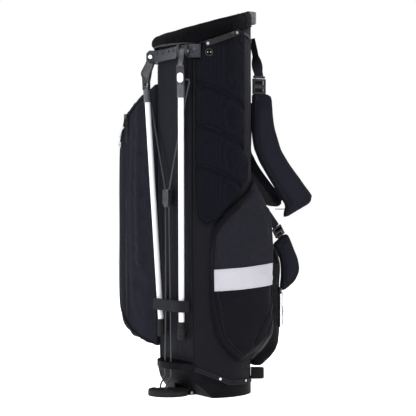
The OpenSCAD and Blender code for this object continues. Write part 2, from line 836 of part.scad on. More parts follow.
mirror([1, 0, 0]) leg_yoke();  // leg_yoke_left
leg_cap();  // leg_cap_right
mirror([1, 0, 0]) leg_cap();  // leg_cap_left
pivot_disc();  // pivot_disc_right
mirror([1, 0, 0]) pivot_disc();  // pivot_disc_left
leg_tube();  // leg_tube_right
mirror([1, 0, 0]) leg_tube();  // leg_tube_left
leg_foot();  // leg_foot_right
mirror([1, 0, 0]) leg_foot();  // leg_foot_left
rod_connector();
lower_rods();
upper_rod();  // upper_rod_right
mirror([1, 0, 0]) upper_rod();  // upper_rod_left
foot_plate();
foot_pin();
apparel_slider();
side_slider();
ball_slider();
apparel_pull();
side_pull();
ball_pull();
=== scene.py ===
"""Golf stand bag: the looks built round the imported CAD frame.

Everything is in metres and in the frame of the CAD model: +Z up, legs at -Y,
hip pad at +X, large pocket at -X, shoulder straps and ball pocket at +Y.
"""

import json
import math

import bmesh
import bpy
import numpy as np
from mathutils import Matrix, Vector, noise
from mathutils.bvhtree import BVHTree


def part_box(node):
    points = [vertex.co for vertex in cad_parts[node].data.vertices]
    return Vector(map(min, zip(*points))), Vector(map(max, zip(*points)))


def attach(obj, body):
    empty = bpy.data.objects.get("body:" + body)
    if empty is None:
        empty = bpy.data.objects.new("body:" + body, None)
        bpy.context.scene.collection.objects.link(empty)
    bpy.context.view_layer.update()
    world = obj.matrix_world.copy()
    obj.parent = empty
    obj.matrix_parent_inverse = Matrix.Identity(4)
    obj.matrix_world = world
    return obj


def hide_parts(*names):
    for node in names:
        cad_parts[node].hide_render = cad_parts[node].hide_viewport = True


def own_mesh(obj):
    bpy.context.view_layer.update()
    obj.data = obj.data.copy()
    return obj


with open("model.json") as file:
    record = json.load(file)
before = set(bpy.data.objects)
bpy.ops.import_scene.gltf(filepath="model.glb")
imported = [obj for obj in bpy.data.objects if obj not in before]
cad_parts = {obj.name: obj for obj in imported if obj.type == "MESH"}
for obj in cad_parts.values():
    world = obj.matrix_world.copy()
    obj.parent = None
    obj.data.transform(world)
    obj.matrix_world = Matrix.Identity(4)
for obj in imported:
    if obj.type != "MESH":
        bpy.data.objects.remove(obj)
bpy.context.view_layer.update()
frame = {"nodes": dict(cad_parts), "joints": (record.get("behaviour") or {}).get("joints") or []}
NODES = frame["nodes"]

# The main sizes, read from the CAD model
TUBE_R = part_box("body_shell")[1].x
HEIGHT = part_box("collar_cuff")[1].z
SHELF_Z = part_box("front_panel")[0].z

# ---------------------------------------------------------------- camera and light

CAMERA_AZIMUTH = math.radians(58.5)
CAMERA_DISTANCE = 3.0
CAMERA_HEIGHT = 0.4276
CAMERA_ASIDE = 0.0093
VIEW_WIDTH = 0.969


def make_camera():
    """A level camera that looks at the tube, in front of the legs and to their right."""
    toward = Vector((math.sin(CAMERA_AZIMUTH), -math.cos(CAMERA_AZIMUTH), 0))
    right = Vector((math.cos(CAMERA_AZIMUTH), math.sin(CAMERA_AZIMUTH), 0))
    data = bpy.data.cameras.new("camera")
    data.sensor_width = 36
    data.lens = 36 * CAMERA_DISTANCE / VIEW_WIDTH
    camera = bpy.data.objects.new("camera", data)
    camera.location = (toward * CAMERA_DISTANCE + right * CAMERA_ASIDE
                       + Vector((0, 0, CAMERA_HEIGHT)))
    camera.rotation_euler = (math.pi / 2, 0, CAMERA_AZIMUTH)
    bpy.context.collection.objects.link(camera)
    bpy.context.scene.camera = camera


def area_light(name, place, target, size, power):
    data = bpy.data.lights.new(name, "AREA")
    data.shape = "RECTANGLE"
    data.size, data.size_y = size
    data.energy = power
    data.color = (0.95, 0.96, 1)
    light = bpy.data.objects.new(name, data)
    light.location = place
    aim = Vector(target) - Vector(place)
    light.rotation_euler = aim.to_track_quat("-Z", "Y").to_euler()
    bpy.context.collection.objects.link(light)


def make_studio():
    """A pale floor, a white surround, and three soft lights."""
    scene = bpy.context.scene
    scene.view_settings.view_transform = "Standard"
    world = bpy.data.worlds.new("surround")
    world.use_nodes = True
    tree = world.node_tree
    seen = tree.nodes["Background"]
    seen.inputs["Color"].default_value = (1, 1, 1, 1)
    lit = tree.nodes.new("ShaderNodeBackground")
    lit.inputs["Color"].default_value = (0.95, 0.97, 1, 1)
    lit.inputs["Strength"].default_value = 0.32
    pick = tree.nodes.new("ShaderNodeMixShader")
    tree.links.new(tree.nodes.new("ShaderNodeLightPath").outputs["Is Camera Ray"], pick.inputs[0])
    tree.links.new(lit.outputs[0], pick.inputs[1])
    tree.links.new(seen.outputs[0], pick.inputs[2])
    tree.links.new(pick.outputs[0], tree.nodes["World Output"].inputs[0])
    scene.world = world
    floor = mesh_piece("floor", [(-6, -6, 0), (6, -6, 0), (6, 6, 0), (-6, 6, 0)], [(0, 1, 2, 3)])
    ground = Shader("floor", (0.92, 0.92, 0.92), 0.8, specular=0.1)
    ground.set("Emission Color", (1, 1, 1, 1))
    ground.set("Emission Strength", 0.8)
    floor.data.materials.append(ground.material)
    area_light("key", (1.6, -2.6, 2.2), (0, 0, 0.5), (1.4, 1.8), 65)
    area_light("side", (3.0, 0.9, 1.3), (0.05, 0.05, 0.5), (0.8, 1.8), 24)
    area_light("left", (-1.9, -2.2, 1.2), (-0.1, 0, 0.45), (0.7, 1.8), 30)
    area_light("back", (-0.5, 2.8, 2.4), (0, 0, 0.6), (1.6, 1.2), 40)
    area_light("top", (0, 0.2, 3.4), (0, 0, 0), (5, 5), 88)


# ---------------------------------------------------------------- materials


class Shader:
    """A material and short names for its nodes."""

    def __init__(self, name, colour, roughness, metallic=0.0, specular=0.5, sheen=0.0,
                 sheen_rough=0.4, coat=0.0):
        self.material = bpy.data.materials.new(name)
        self.material.use_nodes = True
        self.tree = self.material.node_tree
        self.bsdf = self.tree.nodes["Principled BSDF"]
        self.set("Base Color", (*colour, 1))
        self.set("Roughness", roughness)
        self.set("Metallic", metallic)
        self.set("Specular IOR Level", specular)
        self.set("Sheen Weight", sheen)
        self.set("Sheen Roughness", sheen_rough)
        self.set("Coat Weight", coat)
        self.material.diffuse_color = (*colour, 1)

    def set(self, socket, value):
        self.bsdf.inputs[socket].default_value = value

    def node(self, kind, **settings):
        new = self.tree.nodes.new(kind)
        for key, value in settings.items():
            setattr(new, key, value)
        return new

    def feed(self, socket, source):
        if isinstance(source, (int, float)):
            socket.default_value = source
        else:
            self.tree.links.new(source, socket)

    def math(self, operation, a, b=0.0, clamp=False):
        new = self.node("ShaderNodeMath", operation=operation, use_clamp=clamp)
        self.feed(new.inputs[0], a)
        self.feed(new.inputs[1], b)
        return new.outputs[0]

    def place(self):
        """Object coordinates, which are the model's own metres, and their x, y and z."""
        coords = self.node("ShaderNodeTexCoord").outputs["Object"]
        split = self.node("ShaderNodeSeparateXYZ")
        self.tree.links.new(coords, split.inputs[0])
        return coords, split.outputs[0], split.outputs[1], split.outputs[2]

    def noise(self, scale, detail=3.0, stretch=(1, 1, 1), roughness=0.5):
        """3-D noise, from 0 to 1, with features about 1/scale metres across."""
        coords = self.place()[0]
        mapping = self.node("ShaderNodeMapping")
        mapping.inputs["Scale"].default_value = stretch
        self.tree.links.new(coords, mapping.inputs["Vector"])
        new = self.node("ShaderNodeTexNoise")
        self.tree.links.new(mapping.outputs[0], new.inputs["Vector"])
        new.inputs["Scale"].default_value = scale
        new.inputs["Detail"].default_value = detail
        new.inputs["Roughness"].default_value = roughness
        return new.outputs["Fac"]

    def cells(self, scale, randomness=0.2):
        """Distance to the nearest point of a lattice, for meshes with round holes."""
        new = self.node("ShaderNodeTexVoronoi")
        self.tree.links.new(self.place()[0], new.inputs["Vector"])
        new.inputs["Scale"].default_value = scale
        new.inputs["Randomness"].default_value = randomness
        return new.outputs["Distance"]

    def ramp(self, value, low, high, from_low=0.0, from_high=1.0):
        """Maps value to the span low..high, and clamps it."""
        new = self.node("ShaderNodeMapRange")
        self.feed(new.inputs["Value"], value)
        new.inputs["From Min"].default_value = from_low
        new.inputs["From Max"].default_value = from_high
        new.inputs["To Min"].default_value = low
        new.inputs["To Max"].default_value = high
        return new.outputs[0]

    def tint(self, value, dark, light):
        """Base colour that goes from dark to light with value."""
        new = self.node("ShaderNodeMix", data_type="RGBA")
        self.feed(new.inputs["Factor"], value)
        new.inputs["A"].default_value = (*dark, 1)
        new.inputs["B"].default_value = (*light, 1)
        self.tree.links.new(new.outputs["Result"], self.bsdf.inputs["Base Color"])

    def bump(self, height, distance, strength=1.0):
        new = self.node("ShaderNodeBump")
        new.inputs["Distance"].default_value = distance
        new.inputs["Strength"].default_value = strength
        self.feed(new.inputs["Height"], height)
        self.tree.links.new(new.outputs[0], self.bsdf.inputs["Normal"])

    def across(self, wrap):
        """The coordinate along a surface, level, for the way that it wraps the bag."""
        _, x, y, _ = self.place()
        if wrap == "tube":
            angle = self.math("ARCTAN2", x, self.math("MULTIPLY", y, -1))
            return self.math("MULTIPLY", angle, TUBE_R)
        if wrap == "left":
            return self.math("SUBTRACT", x, y)
        if wrap == "right":
            return self.math("ADD", x, y)
        return x

    def wave(self, along, pitch):
        """|sin| along a coordinate, one hump per pitch."""
        turns = self.math("MULTIPLY", along, math.pi / pitch)
        return self.math("ABSOLUTE", self.math("SINE", turns))

    def weave(self, wrap, pitch):
        """Threads over and under, as a height from 0 to 1."""
        _, _, _, z = self.place()
        s = self.across(wrap)
        warp = self.wave(s, pitch)
        weft = self.wave(z, pitch)
        over = self.math("SINE", self.math("MULTIPLY", s, math.pi / pitch))
        under = self.math("SINE", self.math("MULTIPLY", z, math.pi / pitch))
        side = self.ramp(self.math("MULTIPLY", over, under), 0, 1, -0.2, 0.2)
        mix = self.node("ShaderNodeMix", data_type="FLOAT")
        self.feed(mix.inputs["Factor"], side)
        self.feed(mix.inputs["A"], warp)
        self.feed(mix.inputs["B"], weft)
        return mix.outputs[0]

    def grid(self, wrap, pitch, share=0.14):
        """The thicker threads of a ripstop cloth: 1 on a thread, 0 between."""
        _, _, _, z = self.place()
        edge = math.cos(math.pi * share / 2)
        upright = self.ramp(self.wave(self.across(wrap), pitch), 0, 1, edge, 1)
        level = self.ramp(self.wave(z, pitch), 0, 1, edge, 1)
        return self.math("MAXIMUM", upright, level)


def ripstop(name, colour, wrap, rough=0.62, sheen=0.008):
    """Coated nylon with a fine weave and a grid of thicker threads."""
    cloth = Shader(name, colour, rough, specular=0.08, sheen=sheen)
    threads = cloth.grid(wrap, 0.0052)
    fine = cloth.weave(wrap, 0.0011)
    rumple = cloth.noise(28, 4, (1, 1, 0.35))
    high = cloth.math("ADD", cloth.math("MULTIPLY", threads, 0.7),
                      cloth.math("MULTIPLY", fine, 0.35))
    high = cloth.math("ADD", high, cloth.math("MULTIPLY", rumple, 5.0))
    cloth.bump(high, 0.0004)
    light = tuple(min(1, c * 1.9 + 0.0015) for c in colour)
    shade = cloth.math("ADD", cloth.math("MULTIPLY", threads, 0.55),
                       cloth.math("MULTIPLY", cloth.noise(7, 3), 0.35), clamp=True)
    cloth.tint(shade, colour, light)
    return cloth.material


def melange(name, dark, light, wrap):
    """Yarn-dyed polyester: short level flecks over a plain weave."""
    cloth = Shader(name, dark, 0.82, specular=0.06, sheen=0.008)
    flecks = cloth.noise(900, 2, (0.5, 0.5, 1.6), 0.7)
    cloth.tint(cloth.ramp(flecks, 0, 1, 0.36, 0.68), dark, light)
    high = cloth.math("ADD", cloth.math("MULTIPLY", cloth.weave(wrap, 0.0014), 0.6),
                      cloth.math("MULTIPLY", cloth.noise(30, 4, (1, 1, 0.4)), 4.0))
    cloth.bump(high, 0.0004)
    return cloth.material


def air_mesh(name, colour):
    """Knitted spacer mesh with small round holes."""
    cloth = Shader(name, colour, 0.85, specular=0.05, sheen=0.008)
    holes = cloth.ramp(cloth.cells(420, 0.25), 0, 1, 0.12, 0.5)
    light = tuple(c * 2.4 + 0.001 for c in colour)
    cloth.tint(holes, tuple(c * 0.3 for c in colour), light)
    high = cloth.math("ADD", holes, cloth.math("MULTIPLY", cloth.noise(60, 3), 1.2))
    cloth.bump(high, 0.0007)
    return cloth.material


def knit(name, colour, wrap):
    """Smooth close knit for the padded cuff."""
    cloth = Shader(name, colour, 0.8, specular=0.06, sheen=0.008)
    high = cloth.math("ADD", cloth.weave(wrap, 0.0013),
                      cloth.math("MULTIPLY", cloth.noise(40, 4), 3.0))
    cloth.bump(high, 0.0003)
    light = tuple(c * 1.8 + 0.0006 for c in colour)
    cloth.tint(cloth.noise(900, 2), colour, light)
    return cloth.material


def woven_band(name, colour, wrap):
    """Webbing with ribs along and picks across."""
    cloth = Shader(name, colour, 0.72, specular=0.12, sheen=0.008)
    _, _, _, z = cloth.place()
    picks = cloth.wave(z, 0.0016)
    ribs = cloth.wave(cloth.across(wrap), 0.0024)
    high = cloth.math("ADD", picks, cloth.math("MULTIPLY", ribs, 0.7))
    cloth.bump(high, 0.0004)
    light = tuple(c * 2.2 + 0.0015 for c in colour)
    cloth.tint(cloth.math("MULTIPLY", picks, ribs), colour, light)
    return cloth.material


def moulded(name, colour, rough, specular=0.5, grain=0.00012, coat=0.0):
    """Moulded plastic or rubber with a fine spark texture and handling marks."""
    part = Shader(name, colour, rough, specular=specular, coat=coat)
    part.bump(part.noise(2600, 2), grain)
    wear = part.noise(34, 5)
    part.feed(part.bsdf.inputs["Roughness"], part.ramp(wear, rough - 0.08, rough + 0.1, 0.3, 0.7))
    light = tuple(min(1, c * 1.35 + 0.004) for c in colour)
    part.tint(part.ramp(wear, 0, 1, 0.35, 0.7), colour, light)
    return part.material


def painted(name, colour, rough, metallic=0.0, coat=0.0):
    """Painted or plated metal with faint drawn lines along it."""
    part = Shader(name, colour, rough, metallic=metallic, coat=coat)
    lines = part.noise(700, 3, (1, 1, 0.03))
    part.bump(lines, 0.00005)
    part.feed(part.bsdf.inputs["Roughness"], part.ramp(lines, rough - 0.05, rough + 0.08, 0.3, 0.7))
    shade = tuple(c * 0.93 for c in colour)
    part.tint(part.ramp(part.noise(12, 4), 0, 1, 0.35, 0.65), shade, colour)
    return part.material


def reflecting(name):
    """Light grey reflective cloth: a fine bead texture in a faint diamond net."""
    cloth = Shader(name, (0.5, 0.51, 0.52), 0.55, metallic=0.0, specular=0.6)
    beads = cloth.noise(3200, 2)
    net = cloth.weave("right", 0.0016)
    cloth.bump(cloth.math("ADD", cloth.math("MULTIPLY", beads, 0.5), net), 0.00018)
    cloth.tint(cloth.math("ADD", cloth.math("MULTIPLY", net, 0.5),
                          cloth.math("MULTIPLY", cloth.noise(16, 4), 0.6), clamp=True),
               (0.37, 0.355, 0.385), (0.45, 0.435, 0.47))
    return cloth.material


MATERIALS = {}


def make_materials():
    black = (0.0034, 0.0036, 0.0058)
    MATERIALS.update(
        bag_front=ripstop("ripstop_front", black, "plain"),
        bag_tube=ripstop("ripstop_tube", (0.0045, 0.0045, 0.0065), "tube"),
        bag_left=ripstop("ripstop_left", (0.0052, 0.0057, 0.0096), "left"),
        bag_right=ripstop("ripstop_right", (0.0022, 0.0022, 0.0036), "right"),
        melange=melange("melange_charcoal", (0.005, 0.0048, 0.0072), (0.023, 0.0225, 0.030),
                        "right"),
        knit=knit("knit_black", (0.0012, 0.0012, 0.0020), "tube"),
        mesh=air_mesh("air_mesh_black", (0.0019, 0.0020, 0.0034)),
        # The straps' air mesh is a lighter copy of the hip pad's, painted light for straps that sit
        # on the bag's dim back.
        strap_mesh=air_mesh("strap_mesh_black", (0.0044, 0.0045, 0.0068)),
        webbing=woven_band("webbing_black", (0.0055, 0.0055, 0.007), "right"),
        boot=moulded("boot_plastic", (0.0013, 0.0013, 0.0022), 0.6, specular=0.06),
        black_plastic=moulded("black_plastic", (0.008, 0.008, 0.01), 0.38, specular=0.35),
        grey_plastic=moulded("grey_plastic", (0.05, 0.052, 0.06), 0.36),
        white_plastic=moulded("white_plastic", (0.8, 0.81, 0.82), 0.22, coat=0.3),
        rubber=moulded("black_rubber", (0.0065, 0.0065, 0.007), 0.72, specular=0.2, grain=0.0003),
        white_paint=painted("white_leg_paint", (0.86, 0.87, 0.88), 0.3, coat=0.3),
        dark_steel=painted("black_coated_wire", (0.05, 0.05, 0.055), 0.38, metallic=0.6),
        bright_steel=painted("satin_steel", (0.66, 0.66, 0.66), 0.3, metallic=1.0),
        brass=painted("brass", (0.75, 0.52, 0.28), 0.3, metallic=1.0),
        reflective=reflecting("reflective_cloth"),
        piping=knit("piping_black", (0.0042, 0.0042, 0.0055), "plain"),
        teeth=moulded("zip_teeth", (0.012, 0.012, 0.014), 0.3),
        # binding: a brown-grey far lighter than the black cloth, a painted highlight for the sheen
        # along the cuff's lower piping; the spine binding shares it
        binding=woven_band("binding_brown_grey_painted_highlight", (0.035, 0.031, 0.033), "tube"),
        grey_webbing=woven_band("webbing_grey", (0.11, 0.105, 0.11), "plain"),
        leather=moulded("strap_black_brown", (0.006, 0.005, 0.0048), 0.5, specular=0.2,
                        grain=0.0002),
        bracket=moulded("bracket_grey", (0.009, 0.0095, 0.0135), 0.4, specular=0.3),
        yoke=moulded("yoke_black", (0.008, 0.008, 0.0105), 0.34),
        clear_tab=moulded("milky_tab", (0.36, 0.37, 0.42), 0.3),
        pull_white=moulded("pull_white", (0.5, 0.51, 0.53), 0.35),
        rim_knit=knit("rim_knit_black", (0.0008, 0.0008, 0.0013), "tube"),
        bag_low=ripstop("ripstop_low", (0.0009, 0.0009, 0.0015), "right"),
        cord=woven_band("pull_cord_black", (0.008, 0.008, 0.009), "plain"),
        thread_light=knit("thread_light", (0.4, 0.4, 0.41), "plain"),
        zip_tape=woven_band("zip_tape_black", (0.006, 0.006, 0.0075), "right"),
        lining=knit("lining_grey", (0.05, 0.05, 0.055), "plain"),
        stay=moulded("stay_grey", (0.2, 0.2, 0.21), 0.45),
        thread=knit("thread_grey", (0.02, 0.02, 0.024), "plain"),
    )


# What each CAD node that stays in view is made of
NODE_MATERIALS = {
    "black_plastic": ["top_collar", "divider_frame", "leg_bracket", "leg_yoke_right",
                      "leg_yoke_left",
                      "rod_connector", "strap_right_buckle", "strap_left_buckle",
                      "strap_lower_buckle", "grommet"],
    "boot": ["boot"],
    "grey_plastic": ["leg_cap_right", "leg_cap_left"],
    "white_plastic": ["pivot_disc_right", "pivot_disc_left", "apparel_pull", "ball_pull"],
    "rubber": ["leg_foot_right", "leg_foot_left", "foot_plate"],
    "white_paint": ["leg_tube_right", "leg_tube_left"],
    "dark_steel": ["bracket_rivets", "lower_rods", "upper_rod_right", "upper_rod_left",
                   "apparel_slider",
                   "side_slider", "ball_slider"],
    "bright_steel": ["hinge_pins", "foot_pin", "boot_rivets", "handle_rivets"],
    "bag_tube": ["body_shell", "boot_hem"],
    "bag_front": ["front_panel"],
    "webbing": ["base_loop", "grab_handle", "lift_handle", "strap_right_web", "strap_left_web",
                "strap_lower_web", "keeper_strap", "side_pull"],
    "reflective": ["reflective_band"],
    "zip_tape": ["apparel_zip", "side_zip", "ball_zip"],
    "lining": ["divider_sheets"],
    "stay": ["spine_stay", "side_stays"],
    "bag_left": ["apparel_pocket"],
    "bag_right": ["ball_pocket"],
    "melange": ["side_pocket"],
    "knit": ["collar_cuff"],
    "mesh": ["hip_pad"],
    "strap_mesh": ["strap_right_pad", "strap_left_pad", "strap_lower_pad"],
}


def dress_nodes():
    for material, names in NODE_MATERIALS.items():
        for name in names:
            mesh = NODES[name].data
            mesh.materials.clear()
            mesh.materials.append(MATERIALS[material])


# ---------------------------------------------------------------- mesh helpers


def mesh_piece(name, points, faces, smooth=True):
    mesh = bpy.data.meshes.new(name)
    mesh.from_pydata([tuple(p) for p in points], [], faces)
    mesh.update()
    if smooth:
        mesh.polygons.foreach_set("use_smooth", [True] * len(mesh.polygons))
    piece = bpy.data.objects.new(name, mesh)
    bpy.context.collection.objects.link(piece)
    return piece


def outward(piece):
    """Turns a closed mesh's faces so that they look out."""
    mesh = bmesh.new()
    mesh.from_mesh(piece.data)
    bmesh.ops.recalc_face_normals(mesh, faces=mesh.faces)
    mesh.to_mesh(piece.data)
    mesh.free()
    return piece


def place_piece(piece, material, body="root", replaces=()):
    """Gives a piece its material, its body, and the CAD nodes that it stands for."""
    piece.data.materials.clear()
    piece.data.materials.append(MATERIALS[material])
    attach(piece, body)
    if replaces:
        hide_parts(*replaces)
    return piece


def bake(piece):
    """Applies all of a piece's modifiers."""
    bpy.context.view_layer.update()
    shown = piece.evaluated_get(bpy.context.evaluated_depsgraph_get())
    mesh = bpy.data.meshes.new_from_object(shown)
    piece.modifiers.clear()
    piece.data = mesh
    mesh.polygons.foreach_set("use_smooth", [True] * len(mesh.polygons))
    return piece


def modify(piece, kind, **settings):
    modifier = piece.modifiers.new(kind.lower(), kind)
    for key, value in settings.items():
        setattr(modifier, key, value)
    return modifier


def read_points(piece):
    points = np.empty(len(piece.data.vertices) * 3)
    piece.data.vertices.foreach_get("co", points)
    return points.reshape(-1, 3)


def write_points(piece, points):
    piece.data.vertices.foreach_set("co", np.ascontiguousarray(points, float).ravel())
    piece.data.update()


def read_normals(piece):
    normals = np.empty(len(piece.data.vertices) * 3)
    piece.data.vertices.foreach_get("normal", normals)
    return normals.reshape(-1, 3)


def unit(v):
    v = np.asarray(v, float)
    return v / np.maximum(np.linalg.norm(v, axis=-1, keepdims=True), 1e-12)


def smooth_path(points, per=8, closed=False):
    """Points along a smooth curve that goes through the given ones."""
    points = np.array(points, float)
    count = len(points)
    out = []
    for i in range(count if closed else count - 1):
        around = [i + k if not closed else (i + k) % count for k in (-1, 0, 1, 2)]
        p0, p1, p2, p3 = (points[min(max(k, 0), count - 1)] for k in around)
        for t in np.arange(per) / per:
            out.append(0.5 * (2 * p1 + (p2 - p0) * t + (2 * p0 - 5 * p1 + 4 * p2 - p3) * t * t
                              + (3 * p1 - p0 - 3 * p2 + p3) * t ** 3))
    if not closed:
        out.append(points[-1])
    return np.array(out)


def even_path(points, step):
    """The same line with a point about every step, and how far along each one is."""
    points = np.array(points, float)
    run = np.concatenate([[0], np.cumsum(np.linalg.norm(np.diff(points, axis=0), axis=1))])
    at = np.linspace(0, run[-1], max(2, int(round(run[-1] / step)) + 1))
    return np.stack([np.interp(at, run, points[:, k]) for k in range(points.shape[1])], 1), at


def tangents(path, closed=False):
    after, before = np.roll(path, -1, 0), np.roll(path, 1, 0)
    if not closed:
        after[-1], before[0] = path[-1], path[0]
    return unit(after - before)


def level_ups(path, closed=False):
    """Vectors square to the path that turn with it as little as possible."""
    along = tangents(path, closed)
    start = np.cross(along[0], (0, 0, 1) if abs(along[0][2]) < 0.9 else (1, 0, 0))
    ups = [unit(start)]
    for t in along[1:]:
        ups.append(unit(ups[-1] - t * np.dot(ups[-1], t)))
    return np.array(ups)


def round_section(radius, sides=10):
    turn = np.linspace(0, 2 * math.pi, sides, endpoint=False)
    return np.stack([np.cos(turn), np.sin(turn)], 1) * radius


def flat_section(width, thick, sides=20):
    """A flat band with rounded edges."""
    turn = np.linspace(0, 2 * math.pi, sides, endpoint=False) + math.pi / sides
    c, s = np.cos(turn), np.sin(turn)
    return np.stack([np.sign(c) * np.abs(c) ** 0.35 * width / 2,
                     np.sign(s) * np.abs(s) ** 0.6 * thick / 2], 1)


def sweep_points(path, section, ups=None, closed=False, scale=None):
    """A section carried along a path: its v axis along ups, its u axis square to both."""
    path = np.array(path, float)
    along = tangents(path, closed)
    if ups is None:
        ups = level_ups(path, closed)
    else:
        ups = np.broadcast_to(np.array(ups, float), path.shape)
    ups = unit(ups - along * np.sum(ups * along, 1, keepdims=True))
    side = np.cross(along, ups)
    section = np.array(section, float)
    scale = np.ones(len(path)) if scale is None else np.array(scale, float)
    grow = scale[:, None, None]
    points = (path[:, None] + side[:, None] * section[None, :, :1] * grow
              + ups[:, None] * section[None, :, 1:] * grow)
    rows, count = len(path), len(section)
    faces = []
    for i in range(rows if closed else rows - 1):
        j = (i + 1) % rows
        for k in range(count):
            m = (k + 1) % count
            faces.append((i * count + k, i * count + m, j * count + m, j * count + k))
    if not closed:
        faces.append(tuple(reversed(range(count))))
        faces.append(tuple((rows - 1) * count + k for k in range(count)))
    return points.reshape(-1, 3), faces


def join_parts(parts):
    """Several (points, faces) as one."""
    points, faces, start = [], [], 0
    for some, these in parts:
        points.append(some)
        faces += [tuple(v + start for v in face) for face in these]
        start += len(some)
    return np.concatenate(points), faces


def sweep(name, path, section, ups=None, closed=False, scale=None):
    return outward(mesh_piece(name, *sweep_points(path, section, ups, closed, scale)))


def stitches(name, lines, pitch=0.0042, length=0.0028, radius=0.00042):
    """Rows of thread, each (path, normals), that dip into the cloth between stitches."""
    parts = []
    for path, ups in lines:
        path, at = even_path(np.hstack([path, np.broadcast_to(ups, np.shape(path))]), 0.0007)
        for start in np.arange(pitch / 2, at[-1] - length, pitch):
            spots = np.linspace(start, start + length, 4)
            row = np.stack([np.interp(spots, at, path[:, k]) for k in range(6)], 1)
            rise = np.array([-0.4, 0.5, 0.5, -0.4])[:, None] * radius
            parts.append(sweep_points(row[:, :3] + row[:, 3:] * rise, round_section(radius, 5),
                                      row[:, 3:]))
    return outward(mesh_piece(name, *join_parts(parts)))


def surface(piece):
    """A piece's surface, to lay other pieces on."""
    return BVHTree.FromPolygons([v.co for v in piece.data.vertices],
                                [p.vertices for p in piece.data.polygons])


def lay(tree, points, aim, lift=0.0, reach=0.25):
    """Moves points along aim onto a surface; returns the places and the surface's normals."""
    aims = unit(np.broadcast_to(np.array(aim, float), np.shape(points)))
    places, normals = [], []
    for point, way in zip(np.array(points, float), aims):
        place, normal, _, _ = tree.ray_cast(Vector(point - way * reach), Vector(way))
        if place is None:
            continue
        if np.dot(normal, way) > 0:
            normal = -normal
        places.append(place + normal * lift)
        normals.append(normal)
    return np.array(places), np.array(normals)


def polar(angle, radius, z):
    """A point round the tube: angle in degrees from the front (-Y) towards +X."""
    turn = np.radians(angle)
    angle, radius, z = np.broadcast_arrays(turn, radius, z)
    return np.stack([radius * np.sin(angle), -radius * np.cos(angle), z], -1)


def inward(points):
    """Level directions from points towards the axis of the tube."""
    points = np.array(points, float)
    return unit(-points * (1, 1, 0))


def groove(piece, lines, width, depth):
    """Presses a soft line into a surface, or raises one where depth is below 0."""
    points, normals = read_points(piece), read_normals(piece)
    nearest = np.full(len(points), 1e9)
    for line in lines:
        line = np.array(line, float)
        low, high = line.min(0) - 4 * width, line.max(0) + 4 * width
        close = np.where(np.all((points > low) & (points < high), 1))[0]
        for a, b in zip(line[:-1], line[1:]):
            run = b - a
            share = np.clip((points[close] - a) @ run / max(run @ run, 1e-12), 0, 1)
            gap = np.linalg.norm(points[close] - a - share[:, None] * run, axis=1)
            nearest[close] = np.minimum(nearest[close], gap)
    push = depth * np.exp(-((nearest / width) ** 2))
    write_points(piece, points - normals * push[:, None])


def rumple(piece, height, size, stretch=(1, 1, 1), start=0.0):
    """Uneven cloth: moves points along their normals by smooth noise."""
    points, normals = read_points(piece), read_normals(piece)
    spots = points / size * np.array(stretch) + start
    amount = np.array([noise.noise(Vector(p)) for p in spots]) * height
    write_points(piece, points + normals * amount[:, None])


def relax(line, rounds=12):
    """Takes the small steps out of a laid line, with its ends kept."""
    line = np.array(line, float)
    for _ in range(rounds):
        line[1:-1] = line[1:-1] * 0.5 + (line[:-2] + line[2:]) * 0.25
    return line


# ---------------------------------------------------------------- cloth

SIM_FRAMES = 20
WAITING = []


def soft_copy(name, node, voxel, rounds, held=None, pressure=4.0, cap=0.005, slack=0.0):
    """A soft node's solid, remeshed and rounded, and put down for the cloth simulation."""
    piece = bpy.data.objects.new(name, NODES[node].data.copy())
    piece.data.materials.clear()
    bpy.context.collection.objects.link(piece)
    modify(piece, "REMESH", mode="VOXEL", voxel_size=voxel)
    modify(piece, "SMOOTH", factor=0.5, iterations=3)
    bake(piece)
    points = read_points(piece)
    free = piece.vertex_groups.new(name="free")
    off_tube = np.linalg.norm(points[:, :2], axis=1) - TUBE_R
    for i, share in enumerate(np.clip((off_tube - 0.006) / 0.012, 0, 1)):
        free.add([i], float(share), "REPLACE")
    modify(piece, "SMOOTH", factor=0.5, iterations=rounds, vertex_group="free")
    bake(piece)
    piece.vertex_groups.clear()
    points = read_points(piece)
    hold = np.zeros(len(points)) if held is None else np.clip(held(points), 0, 1)
    WAITING.append((piece, pressure, cap, slack, hold))
    return piece


def inflate_all():
    """Blows up all waiting pieces as cloth at once, caps how far points move, and subdivides."""
    scene = bpy.context.scene
    for piece, pressure, cap, slack, hold in WAITING:
        group = piece.vertex_groups.new(name="held")
        for i, weight in enumerate(hold):
            if weight > 0.01:
                group.add([i], float(weight), "REPLACE")
        cloth = piece.modifiers.new("cloth", "CLOTH")
        cloth.point_cache.frame_start = 1
        cloth.point_cache.frame_end = SIM_FRAMES
        cloth.collision_settings.use_collision = False
        settings = cloth.settings
        settings.quality = 5
        settings.mass = 0.3
        settings.bending_stiffness = 0.8
        settings.use_pressure = True
        settings.uniform_pressure_force = pressure
        settings.shrink_min = -slack
        settings.effector_weights.gravity = 0
        settings.vertex_group_mass = "held"
    for frame_number in range(1, SIM_FRAMES + 1):
        scene.frame_set(frame_number)
    graph = bpy.context.evaluated_depsgraph_get()
    for piece, pressure, cap, slack, hold in WAITING:
        shown = piece.evaluated_get(graph).data
        moved = np.empty(len(shown.vertices) * 3)
        shown.vertices.foreach_get("co", moved)
        rest = read_points(piece)
        shift = moved.reshape(-1, 3) - rest
        far = np.maximum(np.linalg.norm(shift, axis=1, keepdims=True), 1e-9)
        shift *= np.tanh(far / cap) * cap / far * (1 - hold[:, None])
        piece.modifiers.clear()
        piece.vertex_groups.clear()
        write_points(piece, rest + shift)
    scene.frame_set(1)
    for piece, *_ in WAITING:
        modify(piece, "SMOOTH", factor=0.5, iterations=2)
        modify(piece, "SUBSURF", levels=1, render_levels=1)
        bake(piece)
    WAITING.clear()


